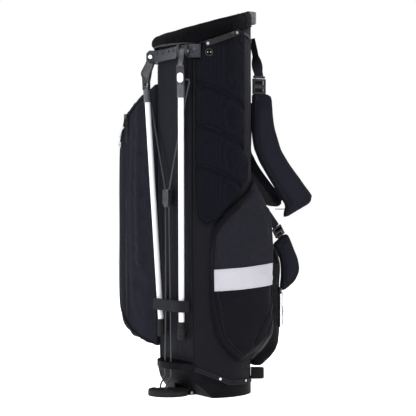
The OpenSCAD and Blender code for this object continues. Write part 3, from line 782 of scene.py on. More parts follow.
def near_tube(margin=0.004, fade=0.01):
    """Holds what lies against the tube."""
    def held(points):
        gap = np.linalg.norm(points[:, :2], axis=1) - TUBE_R - margin
        return 1 - np.clip(gap / fade, 0, 1)
    return held


def both(*parts):
    return lambda points: np.max([part(points) for part in parts], 0)


# ---------------------------------------------------------------- zips' own frames

JOINTS = {joint["name"]: joint for joint in frame["joints"]}
PIVOT_OUT = 0.0069


def zip_frame(which):
    """Where a zip lies: its two ends on the cloth, and its level and outward directions."""
    pull, slide = JOINTS[which + "_pull_swing"], JOINTS[which + "_zip_slide"]
    level = -unit(pull["axis"])
    up = -unit(slide["axis"])
    out = unit(np.cross(level, up))
    spot = np.array(pull["pos_m"], float) - out * PIVOT_OUT
    ends = read_points(NODES[which + "_zip"]) @ up
    here = spot @ up
    return spot + up * (ends.min() - here), spot + up * (ends.max() - here), level, out


def near_zip(which, width=0.016):
    """Holds the cloth beside a zip, so that the tape lies flat on it."""
    low, high = zip_frame(which)[:2]
    run = high - low

    def held(points):
        share = np.clip((points - low) @ run / (run @ run), 0, 1)
        gap = np.linalg.norm(points - low - share[:, None] * run, axis=1)
        return 1 - np.clip((gap - width) / width, 0, 1)
    return held


def make_zip(which):
    """Woven tape with folded edges, two rows of teeth, and two rows of stitches."""
    low, high, level, out = zip_frame(which)
    up = unit(high - low)
    line = np.linspace(low, high, 60)
    tape = sweep(which + "_zip_tape", line + out * 0.0005, flat_section(0.0125, 0.0011), out)
    place_piece(tape, "zip_tape", replaces=[which + "_zip"])
    teeth = []
    length = np.linalg.norm(high - low)
    for k, at in enumerate(np.arange(0.003, length - 0.003, 0.0017)):
        side = level * (0.0009 if k % 2 else -0.0009)
        spot = low + up * at + side + out * 0.0011
        teeth.append(sweep_points([spot - level * 0.0012, spot + level * 0.0012],
                                  round_section(0.00062, 6), out))
    place_piece(outward(mesh_piece(which + "_zip_teeth", *join_parts(teeth))), "teeth")
    rows = [(line + level * side + out * 0.0012, out) for side in (-0.005, 0.005)]
    place_piece(stitches(which + "_zip_stitches", rows), "thread")


# ---------------------------------------------------------------- body cloth and cuff

CUFF_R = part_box("collar_cuff")[1].x
RIM_SLOPE = math.tan(math.radians(17.5))
RIM_Z = HEIGHT - CUFF_R * RIM_SLOPE
CUFF_DEPTH = 0.038
FRONT_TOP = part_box("front_panel")[1].z
FRONT_LEAN = math.tan(math.radians(1.85))
SEAM_ANGLE = 44


def rim(y, drop=0.0):
    """Height of the sloping rim, or of the plane drop below it."""
    return RIM_Z + y * RIM_SLOPE - drop


def front_y(z):
    """The flat front's y, which goes back to the round tube under the cuff."""
    flat = -0.075 - (z - 0.130) * FRONT_LEAN
    round_again = np.clip((z - FRONT_TOP) / 0.02, 0, 1)
    return flat + (-0.13 - flat) * round_again


def wall_point(angle, z, out=0.0):
    """A point on the body cloth: the tube with its flat front."""
    spot = polar(angle, TUBE_R + out, z)
    flat = front_y(spot[..., 2]) - out
    gap = spot[..., 1] - flat
    spot[..., 1] = flat + (gap + np.sqrt(gap * gap + 0.005 ** 2)) / 2
    return spot


def body_panel(name, first, last, material):
    """One panel of the tube's cloth, with a folded thickness."""
    columns, rows = int((last - first) * 0.75), 170
    angles, shares = np.meshgrid(np.linspace(first, last, columns), np.linspace(0, 1, rows))
    y = polar(angles, TUBE_R, 0)[..., 1]
    y = np.maximum(y, -0.0735)
    low = np.interp(y, [-0.0725, -0.0715, 0, TUBE_R], [SHELF_Z + 0.0004, 0.0592, 0.028, 0.024])
    high = rim(polar(angles, TUBE_R, 0)[..., 1], 0.0122)
    points = wall_point(angles, low + (high - low) * shares)
    faces = [(i * columns + k, i * columns + k + 1, (i + 1) * columns + k + 1,
              (i + 1) * columns + k)
             for i in range(rows - 1) for k in range(columns - 1)]
    panel = mesh_piece(name, points.reshape(-1, 3), faces)
    rumple(panel, 0.0011, 0.07, (1, 1, 0.35), 3.1)
    rumple(panel, 0.0005, 0.022, (1, 1, 0.6), 8.4)
    seams = [-36, -14, 6, 26, 36] if first < 0 else [132, 228]
    heights = np.linspace(0.03, 0.86, 60)
    groove(panel, [wall_point(angle, heights) for angle in seams], 0.0016, 0.0009)
    modify(panel, "SOLIDIFY", thickness=0.0026, offset=-1)
    bake(panel)
    return place_piece(panel, material)


def make_body():
    front = body_panel("body_cloth_front", -SEAM_ANGLE, SEAM_ANGLE, "bag_front")
    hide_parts("front_panel")
    back = body_panel("body_cloth_back", SEAM_ANGLE, 360 - SEAM_ANGLE, "bag_tube")
    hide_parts("body_shell")
    rows = []
    for side in (-1, 1):
        low, high = 0.066, 0.79
        heights = np.linspace(low, high, 120)
        line = wall_point(side * SEAM_ANGLE, heights, 0.0006)
        cord = sweep(f"body_piping_{'right' if side > 0 else 'left'}", line,
                     round_section(0.0017, 8))
        place_piece(cord, "piping")
        for angle in (side * (SEAM_ANGLE - 2.2), side * (SEAM_ANGLE + 2.2)):
            rows.append((wall_point(angle, heights, 0.0006), -inward(wall_point(angle, heights))))
    for angle in (-36, -34.6, 34.6, 36):
        line = wall_point(angle, np.linspace(0.085, 0.762, 110), 0.0002)
        rows.append((line, -inward(line)))
    place_piece(stitches("body_stitches", rows), "thread")
    edge = polar(np.linspace(92, 141, 40), TUBE_R + 0.0016,
                 np.interp(np.linspace(92, 141, 40), [92, 112, 126, 141],
                           [0.826, 0.827, 0.822, 0.812]))
    binding = sweep("spine_binding", edge, flat_section(0.0052, 0.0018), -inward(edge))
    # The spine binding shares the lighter binding colour, a painted highlight.
    place_piece(binding, "binding")


def cuff_reach(angle):
    """How far the cuff stands out: most at the front, where it is fullest."""
    return CUFF_R - 0.0012 + 0.0055 * np.cos(np.radians(angle))


def cuff_low(angle):
    return np.maximum(rim(polar(angle, CUFF_R, 0)[..., 1], CUFF_DEPTH), FRONT_TOP - 0.0005)


def make_cuff():
    angles = np.linspace(0, 360, 260, endpoint=False)
    rings = []
    inner = TUBE_R - 0.008
    for angle in angles:
        reach, low = float(cuff_reach(angle)), float(cuff_low(angle))
        y = -math.cos(math.radians(angle))
        high = rim(y * reach)
        lip = rim(y * inner)
        tall = high - low
        profile = [(TUBE_R + 0.0006, low + 0.004), (TUBE_R + 0.003, low + 0.0006),
                   (reach - 0.0022, low + 0.0012),
                   (reach, low + 0.25 * tall), (reach + 0.0006, low + 0.5 * tall),
                   (reach - 0.0006, low + 0.76 * tall), (reach - 0.005, low + 0.94 * tall),
                   (TUBE_R - 0.0012, (high + lip) / 2 + 0.001), (inner + 0.001, lip - 0.002),
                   (inner, lip - 0.0075), (inner + 0.0035, lip - 0.0105),
                   (TUBE_R + 0.0006, lip - 0.009)]
        ring = smooth_path([(r, 0, z) for r, z in profile], 3, closed=True)
        rings.append(polar(angle, ring[:, 0], ring[:, 2]))
    count = len(rings[0])
    faces = [(i * count + k, i * count + (k + 1) % count,
              (i + 1) % len(rings) * count + (k + 1) % count, (i + 1) % len(rings) * count + k)
             for i in range(len(rings)) for k in range(count)]
    cuff = outward(mesh_piece("padded_cuff", np.concatenate(rings), faces))
    rumple(cuff, 0.0022, 0.05, (1, 1, 1.4), 5.0)

    def held(points):
        radius = np.linalg.norm(points[:, :2], axis=1)
        return 1 - np.clip((radius - TUBE_R - 0.001) / 0.004, 0, 1)
    WAITING.append((cuff, 5.0, 0.0022, 0.03, held(read_points(cuff))))
    return cuff


CUFF_SEAMS = (12, 52, 118, 180, 242, 308, 336)


def finish_cuff(cuff):
    tree = surface(cuff)
    lines = []
    for angle in CUFF_SEAMS:
        low, high = float(cuff_low(angle)), float(rim(polar(angle, CUFF_R, 0)[1]))
        line = polar(angle, 0.16, np.linspace(low + 0.002, high - 0.001, 24))
        lines.append(lay(tree, line, inward(line))[0])
    angles = np.linspace(0, 360, 200)
    under = polar(angles, 0.16, cuff_low(angles) + 0.0075)
    ring, normals = lay(tree, under, inward(under))
    groove(cuff, lines, 0.0022, 0.0014)
    groove(cuff, [ring], 0.0024, 0.0012)
    place_piece(cuff, "rim_knit", replaces=["collar_cuff"])
    place_piece(stitches("cuff_stitches", [(ring, normals)]), "thread")
    line = polar(angles[:-1], cuff_reach(angles[:-1]) - 0.0028, cuff_low(angles[:-1]) + 0.0014)
    cord = sweep("cuff_piping", line, round_section(0.0018, 8), closed=True)
    # The cuff's piping takes the lighter binding colour, a painted highlight along the cuff's lower
    # edge.
    place_piece(cord, "binding")


# ---------------------------------------------------------------- pad and pockets

PAD_FRONT = 49
QUILT_TOP = 0.707
QUILT_STEP = 0.0915


# How far a quilt seam sinks, as a share of the pad's thickness
QUILT_DEPTH = 0.75


def quilt_height(line, angle):
    """The quilting runs level at the front and falls away to the back."""
    return QUILT_TOP - QUILT_STEP * line - 0.046 * (np.maximum(angle - PAD_FRONT, 0) / 56) ** 1.6


PAD_BACK_LOW, PAD_BACK_HIGH = 119, 112
PAD_THICK = 0.0105


def pad_low(angle):
    """Bottom edge of the hip pad: round at the front corner, rising to the back."""
    return np.interp(angle, [49, 50, 52, 56, 61, 72, 119],
                     [0.455, 0.438, 0.415, 0.398, 0.392, 0.399, 0.496])


def pad_high(angle):
    """Top edge: under the bracket's wing at the front, and under the cuff behind it."""
    under_cuff = np.maximum(rim(polar(angle, TUBE_R, 0)[..., 1], CUFF_DEPTH + 0.001),
                            FRONT_TOP - 0.002)
    return np.where(angle < 55, 0.7645, np.interp(angle, [55, 57],
                                                  [0, 1]) * (under_cuff - 0.7645) + 0.7645)


def make_pad():
    """The quilted pad: a closed pillow that lies on the tube and puffs between its seams."""
    columns, rows = 74, 150
    across, up = np.meshgrid(np.linspace(0, 1, columns), np.linspace(0, 1, rows))
    back = np.interp(up, [0.14, 0.22], [PAD_BACK_LOW, PAD_BACK_HIGH])
    angle = PAD_FRONT + across * (back - PAD_FRONT)
    low, high = pad_low(angle), pad_high(angle)
    z = low + (high - low) * up
    side = np.minimum(across, 1 - across) * np.radians(back - PAD_FRONT) * TUBE_R
    edge = np.minimum(side, np.minimum(up, 1 - up) * (high - low))
    round_off = np.sqrt(1 - (1 - np.clip(edge / 0.009, 0, 1)) ** 2)
    seams = [np.abs(z - quilt_height(k, angle)) + 0.02 * (angle > 110 - 3 * k) for k in range(3)]
    seam = np.min(seams, 0)
    thick = PAD_THICK * round_off * (1 - QUILT_DEPTH * np.exp(-((seam / 0.0065) ** 2)))
    outer = polar(angle, TUBE_R + 0.0008 + thick, z).reshape(-1, 3)
    inner = polar(angle, TUBE_R + 0.0004, z).reshape(-1, 3)
    count = rows * columns
    faces = []
    for i in range(rows - 1):
        for k in range(columns - 1):
            a = i * columns + k
            faces.append((a, a + 1, a + columns + 1, a + columns))
            faces.append((a + count, a + count + columns, a + count + columns + 1, a + count + 1))
    border = [k for k in range(columns)] + [i * columns + columns - 1 for i in range(1, rows)]
    border += [(rows - 1) * columns + k for k in range(columns - 2, -1, -1)]
    border += [i * columns for i in range(rows - 2, 0, -1)]
    for a, b in zip(border, border[1:] + border[:1]):
        faces.append((a, a + count, b + count, b))
    pad = outward(mesh_piece("hip_pad_foam", np.concatenate([outer, inner]), faces))
    hold = np.maximum(np.exp(-((seam / 0.005) ** 2)), 1 - np.clip(edge / 0.006, 0, 1)).ravel()
    WAITING.append((pad, 5.0, 0.0028, 0.02, np.concatenate([hold, np.ones(count)])))
    return pad


def make_soft_solids():
    soft = {"pad": make_pad()}
    soft["apparel"] = soft_copy("apparel_cloth", "apparel_pocket", 0.006, 12,
                                both(near_tube(0.006, 0.02), near_zip("apparel")), 3.5, 0.008, 0.03)
    soft["side"] = soft_copy("side_pocket_cloth", "side_pocket", 0.0048, 10,
                             both(near_tube(0.006, 0.014),
                                  near_zip("side", 0.01)), 3.5, 0.005, 0.02)
    soft["ball"] = soft_copy("ball_pocket_cloth", "ball_pocket", 0.0048, 6,
                             both(near_tube(0.006, 0.014),
                                  near_zip("ball", 0.01)), 3.5, 0.006, 0.02)
    return soft


def finish_pad(pad):
    tree = surface(pad)
    threads = []
    for k in range(3):
        angles = np.linspace(PAD_FRONT + 3, 109 - 3 * k, 70)
        line = polar(angles, 0.18, quilt_height(k, angles))
        threads.append(lay(tree, line, inward(line), 0.0001))
    rumple(pad, 0.0006, 0.03, start=2.0)
    place_piece(pad, "mesh", replaces=["hip_pad"])
    place_piece(stitches("hip_pad_stitches", threads, radius=0.0003), "thread")
    front = np.array([polar(PAD_FRONT - 0.6, TUBE_R + 0.0040, z)
                      for z in np.linspace(0.762, 0.50, 40)]
                     + [polar(a, TUBE_R + 0.0040, z) for a, z in
                        ((48.6, 0.47), (49.2, 0.438), (51.6, 0.412), (55.6, 0.396), (61, 0.390))])
    cord = sweep("hip_pad_piping", even_path(smooth_path(front, 4), 0.004)[0],
                 round_section(0.0034, 9))
    place_piece(cord, "piping")
    angles = np.linspace(61, 118, 50)
    low = polar(angles, TUBE_R + 0.0028, pad_low(angles) - 0.001)
    place_piece(sweep("hip_pad_lower_piping", low, round_section(0.0026, 8)), "piping")
    back = polar(np.linspace(112.6, 113, 60), TUBE_R + 0.0028, np.linspace(0.822, 0.58, 60))
    place_piece(sweep("hip_pad_back_piping", back, round_section(0.0026, 8)), "piping")


SIDE_TURN = math.radians(15)
SIDE_OUT = np.array([math.cos(SIDE_TURN), math.sin(SIDE_TURN), 0])
SIDE_ACROSS = np.array([-math.sin(SIDE_TURN), math.cos(SIDE_TURN), 0])
# The side pocket's face: its front edge, and the two seams that meet at its lower point,
# as (across, height) in metres
FACE_EDGE = [(0.040, 0.466), (-0.002, 0.442), (-0.036, 0.416), (-0.058, 0.386), (-0.0685, 0.352),
             (-0.0705, 0.297), (-0.0695, 0.244), (-0.0655, 0.199), (-0.0575, 0.146),
             (-0.041, 0.117),
             (-0.015, 0.092), (0.012, 0.074)]
FACE_SEAM = [(0.069, 0.262), (0.067, 0.212), (0.050, 0.184), (0.028, 0.153), (0.0136, 0.116),
             (0.008, 0.084), (0.012, 0.070)]
GUSSET_SEAM = [(0.082, 0.235), (0.078, 0.205), (0.060, 0.162), (0.042, 0.118), (0.026, 0.082),
               (0.016, 0.069)]


def on_side(points, push=0.30):
    """(across, height) in front of the side pocket's face."""
    points = np.array(points, float)
    return SIDE_OUT * push + points[:, :1] * SIDE_ACROSS + points[:, 1:] * (0, 0, 1)


def side_path(points, per=8):
    flat = smooth_path([(a, 0, z) for a, z in points], per)
    return on_side(flat[:, [0, 2]])


def finish_side(pocket):
    tree = surface(pocket)
    seam = lay(tree, side_path(FACE_SEAM), -SIDE_OUT)[0]
    gusset = lay(tree, side_path(GUSSET_SEAM), -SIDE_OUT)[0]
    inner = lay(tree, side_path([(a + 0.006, z) for a, z in FACE_EDGE]), -SIDE_OUT)[0]
    folds = [side_path([(0.055, 0.425), (0.062, 0.385), (0.070, 0.335)]),
             side_path([(0.030, 0.430), (0.040, 0.395), (0.052, 0.352)]),
             side_path([(0.078, 0.400), (0.083, 0.360), (0.086, 0.320)])]
    folds = [lay(tree, line, -SIDE_OUT)[0] for line in folds]
    groove(pocket, [inner, seam, gusset], 0.0026, 0.0016)
    groove(pocket, folds, 0.0075, -0.0034)
    rumple(pocket, 0.0020, 0.05, (1, 1, 0.7), 1.7)
    place_piece(pocket, "melange", replaces=["side_pocket"])
    dye_side(pocket)
    tree = surface(pocket)
    for name, path, thick in (("edge", FACE_EDGE, 0.0026), ("seam", FACE_SEAM, 0.0023),
                              ("gusset", GUSSET_SEAM, 0.0023)):
        line, normals = lay(tree, side_path(path), -SIDE_OUT, 0.0006)
        cord = sweep(f"side_piping_{name}", even_path(relax(line), 0.004)[0],
                     round_section(thick, 9))
        place_piece(cord, "piping")
    rows = []
    for path, gap in ((FACE_EDGE, 0.0075), (FACE_SEAM, -0.006)):
        line, normals = lay(tree, side_path([(a + gap, z) for a, z in path]), -SIDE_OUT, 0.0002)
        rows.append((line, normals))
    place_piece(stitches("side_stitches", rows), "thread")
    make_band(tree)


def dye_side(pocket):
    """The face above the light band is melange; below it, and on the gusset, the cloth is black."""
    pocket.data.materials.append(MATERIALS["bag_right"])
    edge = np.array(FACE_EDGE)[::-1]
    for face in pocket.data.polygons:
        spot = np.array(face.center)
        across = spot @ SIDE_ACROSS
        front = across < np.interp(spot[2], edge[:, 1], edge[:, 0])
        face.material_index = int(front or spot[2] < 0.268 + 0.096 * spot[1])


def make_band(tree):
    """The light band: a strip of cloth laid on the pocket's face, with turned edges."""
    tilt = math.tan(math.radians(5.5))
    width = 0.050
    acrosses, shares = np.linspace(-0.0672, 0.0705, 70), np.linspace(-0.5, 0.5, 22)
    slack = 0.0011
    grid = []
    for a in acrosses:
        spot = SIDE_OUT * 0.13 + a * SIDE_ACROSS
        middle = 0.243 + spot[1] * tilt + width / 2
        for share in shares:
            grid.append(SIDE_OUT * 0.30 + a * SIDE_ACROSS
                        + np.array((0, 0, middle + share * width)))
    places = lay(tree, grid, -SIDE_OUT, slack)[0]
    rows = len(shares)
    faces = [(i * rows + k, (i + 1) * rows + k, (i + 1) * rows + k + 1, i * rows + k + 1)
             for i in range(len(acrosses) - 1) for k in range(rows - 1)]
    band = mesh_piece("reflective_strip", places, faces)
    modify(band, "SMOOTH", factor=0.5, iterations=3)
    modify(band, "SOLIDIFY", thickness=0.0008, offset=0)
    modify(band, "BEVEL", width=0.0003, segments=2, limit_method="ANGLE")
    bake(band)
    place_piece(band, "reflective", replaces=["reflective_band"])
    rows_of = []
    for share in (-0.46, 0.46):
        line = [SIDE_OUT * 0.30 + a * SIDE_ACROSS
                + np.array((0, 0, 0.243 + (SIDE_OUT * 0.13 + a * SIDE_ACROSS)[1] * tilt + width / 2
                            + share * width)) for a in acrosses]
        rows_of.append(lay(tree, line, -SIDE_OUT, slack + 0.0007))
    place_piece(stitches("band_stitches", rows_of), "thread_light")


def finish_apparel(pocket):
    tree = surface(pocket)
    forward = np.array((0, 1, 0))
    folds = []
    for top, bottom, lean in ((0.62, 0.20, -0.150), (0.58, 0.15, -0.187), (0.66, 0.30, -0.128)):
        heights = np.linspace(top, bottom, 40)
        sway = lean - 0.008 * np.sin((heights - bottom) * 7)
        line = np.stack([sway, np.full(40, -0.3), heights], 1)
        folds.append(lay(tree, line, forward, reach=0.0)[0])
    groove(pocket, folds, 0.011, -0.0042)
    rumple(pocket, 0.0032, 0.10, (1, 1, 0.3), 4.2)
    rumple(pocket, 0.0012, 0.03, (1, 1, 0.5), 9.0)
    place_piece(pocket, "bag_left", replaces=["apparel_pocket"])
    tree = surface(pocket)
    middle = np.array((-0.135, 0, 0.39))
    outline = [(-0.112, 0.698), (-0.150, 0.676), (-0.181, 0.650), (-0.201, 0.614), (-0.2145, 0.570),
               (-0.2165, 0.45), (-0.2165, 0.30), (-0.2145, 0.217), (-0.205, 0.190), (-0.189, 0.161),
               (-0.167, 0.134), (-0.128, 0.116), (-0.104, 0.110)]
    flat = smooth_path([(x, 0, z) for x, z in outline], 10)
    rows = []
    for side, y in (("front", -0.3), ("back", 0.3)):
        line = flat * (1, 0, 1) + (0.010, y, 0)
        places, normals = lay(tree, line, (0, -np.sign(y), 0), 0.0006, reach=0.0)
        cord = sweep(f"apparel_piping_{side}", even_path(relax(places, 20), 0.005)[0],
                     round_section(0.0021, 9))
        place_piece(cord, "piping")
        shrunk = middle + (flat - middle) * (0.93, 1, 0.985) + (0, y, 0)
        places, normals = lay(tree, shrunk * (1, 0, 1) + (0, y, 0), (0, -np.sign(y), 0), 0.0002,
                              reach=0.0)
        rows.append((places, normals))
    place_piece(stitches("apparel_stitches", rows), "thread")


def finish_ball(pocket):
    tree = surface(pocket)
    outline = [(-0.055, 0.325), (-0.058, 0.25), (-0.055, 0.13), (-0.035, 0.098), (0.0, 0.088),
               (0.035, 0.10), (0.046, 0.13), (0.048, 0.25), (0.044, 0.315), (0.0, 0.338)]
    loop = smooth_path([(x, 0.3, z) for x, z in outline], 8, closed=True)
    places = lay(tree, loop, (0, -1, 0), 0.0, reach=0.0)[0]
    groove(pocket, [np.vstack([places, places[:1]])], 0.0026, 0.0014)
    rumple(pocket, 0.0026, 0.05, (1, 1, 0.6), 6.6)
    place_piece(pocket, "bag_low", replaces=["ball_pocket"])
    tree = surface(pocket)
    places = lay(tree, loop, (0, -1, 0), 0.0004, reach=0.0)[0]
    cord = sweep("ball_piping", places, round_section(0.002, 8), closed=True)
    place_piece(cord, "piping")
    inner = loop * (0.88, 1, 0.96) + (0, 0, 0.009)
    row = lay(tree, inner, (0, -1, 0), 0.0002, reach=0.0)
    place_piece(stitches("ball_stitches", [row]), "thread")


# ---------------------------------------------------------------- straps and webbing

STRAP_W = 0.066
STRAP_T = 0.0135
SEAM_IN = 0.0085
WEB_W = 0.025
WEB_T = 0.0019
# Side views, as (y, z) in metres: the left pad's middle line, and the outlines of the others
LEFT_PAD = [(0.132, 0.690), (0.131, 0.655), (0.130, 0.620), (0.129, 0.590), (0.129, 0.562),
            (0.137, 0.546), (0.149, 0.527), (0.167, 0.505), (0.188, 0.482), (0.209, 0.459),
            (0.226, 0.434)]
RIGHT_OUTLINE = [(0.106, 0.692), (0.128, 0.694), (0.151, 0.692), (0.156, 0.679), (0.168, 0.618),
                 (0.187, 0.565), (0.213, 0.530), (0.242, 0.498), (0.270, 0.460), (0.269, 0.440),
                 (0.242, 0.425), (0.202, 0.407), (0.199, 0.418), (0.199, 0.431), (0.173, 0.468),
                 (0.148, 0.502), (0.124, 0.537), (0.110, 0.567), (0.104, 0.600), (0.104, 0.650)]
LOWER_OUTLINE = [(0.172, 0.343), (0.204, 0.364), (0.222, 0.335), (0.236, 0.305), (0.241, 0.279),
                 (0.228, 0.255), (0.205, 0.238), (0.190, 0.233), (0.188, 0.262), (0.187, 0.295),
                 (0.181, 0.318)]
RIGHT_X, LEFT_X = 0.045, -0.036
LOWER_WEB_W = 0.020


def side_view(points, x, per=8, step=0.003):
    path = smooth_path([(x, y, z) for y, z in points], per)
    return even_path(path, step)[0]


def side_ups(path):
    """Normals of a side-view path, in its own plane."""
    return np.cross(tangents(path), (1, 0, 0))


def level_sides(path):
    """Level directions square to a path, for webbing that stands on edge."""
    return np.cross(tangents(path), (0, 0, 1))


def pad_piece(name, points, x, width):
    """A foam pad along a side-view path, thinner and narrower at its ends."""
    path = side_view(points, x)
    at = np.linspace(0, 1, len(path))
    ends = np.clip(np.minimum(at, 1 - at) / 0.045, 0, 1)
    scale = 0.45 + 0.55 * np.sqrt(1 - (1 - ends) ** 2)
    pad = sweep(name, path, flat_section(width, STRAP_T, 36), side_ups(path), scale=scale)
    rumple(pad, 0.0016, 0.03, start=x * 50)
    WAITING.append((pad, 5.0, 0.0032, 0.02, np.zeros(len(pad.data.vertices))))
    return pad


def finish_strap(pad, points, x, width, node):
    """Sewn edges and edge binding on a strap pad that follows a side-view path."""
    path = side_view(points, x)
    ups = side_ups(path)
    tree = surface(pad)
    core, turn = path[6:-6], ups[6:-6]
    lines, rows = [], []
    for face in (-1, 1):
        for edge in (-1, 1):
            line = core + np.array((edge * (width / 2 - SEAM_IN), 0, 0)) + turn * face * 0.05
            places, normals = lay(tree, line, -face * turn, 0.0, reach=0.0)
            lines.append(places)
            rows.append((places - normals * 0.0008, normals))
    groove(pad, lines, 0.0028, 0.0016)
    # The strap pad takes the lighter mesh copy, painted light.
    place_piece(pad, "strap_mesh", replaces=[node])
    tag = node.replace("_pad", "")
    place_piece(stitches(tag + "_stitches", rows), "thread")
    for number, edge in enumerate((-1, 1)):
        line = path[4:-4] + np.array((edge * (width / 2 + 0.0004), 0, 0))
        cord = sweep(f"{tag}_binding_{number}", line, flat_section(0.0095, 0.0026, 16),
                     (edge, 0, 0))
        place_piece(cord, "piping")


def finish_plate(pad, outline, x, node):
    """Edge piping and a sewn line inside it, on a pad whose broad faces look to the sides."""
    loop = even_path(smooth_path([(x, y, z) for y, z in outline + outline[:1]], 8), 0.003)[0][:-1]
    turn = np.cross(tangents(loop, closed=True), (1, 0, 0))
    area = np.sum(loop[:, 1] * np.roll(loop[:, 2], -1) - np.roll(loop[:, 1], -1) * loop[:, 2])
    inner = turn * np.sign(area) * -1
    tree = surface(pad)
    lines, rows = [], []
    for face in (-1, 1):
        line = loop + inner * SEAM_IN + np.array((face * 0.06, 0, 0))
        places, normals = lay(tree, line, (-face, 0, 0), reach=0.0)
        lines.append(places)
        rows.append((places - normals * 0.0008, normals))
    edge = lay(tree, loop - inner * 0.012, inner, reach=0.0)[0]
    groove(pad, lines, 0.003, 0.0018)
    # The strap pads take the lighter mesh copy, painted light.
    place_piece(pad, "strap_mesh", replaces=[node])
    tag = node.replace("_pad", "")
    place_piece(stitches(tag + "_stitches", rows), "thread")
    cord = sweep(tag + "_piping", relax(edge, 6), round_section(0.0026, 9), closed=True)
    place_piece(cord, "piping")


def webbing(name, points, x, width, node, twist):
    """Woven webbing along a side-view path. Its broad face looks out of that plane's edge,
    or to the side where twist, a share from 0 to 1 along the path, says so."""
    path = side_view(points, x)
    ups = side_ups(path)
    if twist is not None:
        share = np.interp(np.linspace(0, 1, len(path)), *twist)[:, None]
        ups = ups * np.cos(share * math.pi / 2) + np.array((1, 0, 0)) * np.sin(share * math.pi / 2)
    band = sweep(name, path, flat_section(width, WEB_T), ups)
    return place_piece(band, "webbing", replaces=[node] if node else ())


# Webbing: name, side-view path, x, width, the node it stands for, and how it twists
FLAT = ((0, 1), (1, 1))
WEBBINGS = [
    ("strap_right_upper_webbing",
     [(0.1035, 0.824), (0.1085, 0.806), (0.1135, 0.786), (0.118, 0.764), (0.1225, 0.742),
      (0.124, 0.733)], RIGHT_X, WEB_W, "strap_right_web", ((0, 0.45, 0.85, 1), (0, 0, 1, 1))),
    ("strap_right_lower_webbing",
     [(0.124, 0.7285), (0.124, 0.712), (0.1245, 0.700), (0.126, 0.693), (0.128, 0.682)],
     RIGHT_X - 0.0022, WEB_W, None, FLAT),
    ("strap_left_upper_webbing",
     [(0.1115, 0.822), (0.116, 0.812), (0.122, 0.800), (0.127, 0.782), (0.130, 0.760),
      (0.1335, 0.742), (0.1375, 0.736)], LEFT_X, WEB_W, "strap_left_web", None),
    ("strap_left_lower_webbing",
     [(0.1375, 0.7335), (0.1335, 0.728), (0.1385, 0.716), (0.1315, 0.705), (0.1335, 0.690),
      (0.134, 0.672)], LEFT_X, WEB_W, None, None),
    ("strap_left_loose_end",
     [(0.1385, 0.7165), (0.1425, 0.706), (0.1435, 0.688), (0.1465, 0.665), (0.1485, 0.645)],
     LEFT_X, WEB_W - 0.001, None, None),
    ("lower_webbing_body",
     [(0.1005, 0.478), (0.108, 0.470), (0.1185, 0.4515), (0.1285, 0.4355), (0.1505, 0.4105),
      (0.1725, 0.3835)], RIGHT_X, LOWER_WEB_W, "strap_lower_web", FLAT),
    ("lower_webbing_pad",
     [(0.1745, 0.3802), (0.179, 0.372), (0.185, 0.3615), (0.190, 0.3545)],
     RIGHT_X - 0.0022, LOWER_WEB_W - 0.003, None, FLAT),
]


def make_straps():
    for name, points, x, width, node, twist in WEBBINGS:
        webbing(name, points, x, width, node, twist)
    joint = np.array([(x, 0.214, 0.425) for x in np.linspace(-0.006, 0.040, 16)])
    joining = sweep("strap_joining_webbing", joint, flat_section(LOWER_WEB_W, WEB_T), (0, 0, 1))
    place_piece(joining, "webbing")
    pads = {"left": pad_piece("strap_left_foam", LEFT_PAD, LEFT_X, STRAP_W)}
    for side in ("right", "lower"):
        pads[side] = soft_copy(f"strap_{side}_foam", f"strap_{side}_pad", 0.0036, 2, None, 5.0,
                               0.003, 0.02)
    return pads


def make_handles():
    """The ribbed lift handle at the back of the rim, and the grab handle on the side."""
    low, high = (corner.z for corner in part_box("lift_handle"))
    plan = [(-0.020, 0.107), (-0.020, 0.126), (-0.015, 0.134), (0, 0.137), (0.015, 0.134),
            (0.020, 0.126),
            (0.020, 0.107)]
    band = even_path(smooth_path([(x, y, (low + high) / 2) for x, y in plan], 8), 0.003)[0]
    web = sweep("lift_handle_webbing", band, flat_section(high - low, 0.0032), level_sides(band))
    place_piece(web, "grey_webbing", replaces=["lift_handle"])
    turn, tilt = math.radians(79 - 90), math.radians(21)
    lift = Matrix.Translation((0, 0, 0.809))
    spin = Matrix.Rotation(turn, 4, "Z") @ lift @ Matrix.Rotation(tilt, 4, "X")
    arc = smooth_path([(0.1172, -0.0425, 0), (0.1186, -0.036, 0), (0.1215, -0.029, 0),
                       (0.1285, -0.017, 0),
                       (0.1308, 0, 0), (0.1285, 0.017, 0), (0.1215, 0.029, 0), (0.1186, 0.036, 0),
                       (0.1172, 0.0425, 0)], 8)
    path = even_path([spin @ Vector(p) for p in arc], 0.003)[0]
    ups = np.cross(tangents(path), np.array(spin.to_3x3() @ Vector((0, 0, 1))))
    handle = sweep("grab_handle_strap", path, flat_section(0.012, 0.0026), ups)
    place_piece(handle, "leather", replaces=["grab_handle"])
    rows = []
    wide = np.array(spin.to_3x3() @ Vector((0, 0, 1)))
    for side in (-1, 1):
        rows.append((path[3:-3] + wide * side * 0.0042 - ups[3:-3] * 0.0014, -ups[3:-3]))
    place_piece(stitches("grab_handle_stitches", rows, radius=0.0003), "thread")


def make_base_loop():
    """Webbing loop at the back of the base, for a trolley's strap, standing on edge."""
    turn = Matrix.Rotation(math.radians(-30), 3, "Z")
    low, high = (corner.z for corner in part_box("base_loop"))
    plan = [(-0.013, 0.0008), (-0.013, 0.017), (-0.009, 0.0265), (0, 0.030), (0.009, 0.0265),
            (0.013, 0.017),
            (0.013, 0.0008)]
    flat = smooth_path([turn @ Vector((x, TUBE_R + y, (low + high) / 2)) for x, y in plan], 8)
    path = even_path(flat, 0.003)[0]
    place_piece(sweep("base_loop_webbing", path, flat_section(high - low, WEB_T),
                      level_sides(path)),
                "webbing", replaces=["base_loop"])


KEEPER_Z = (0.192, 0.219)


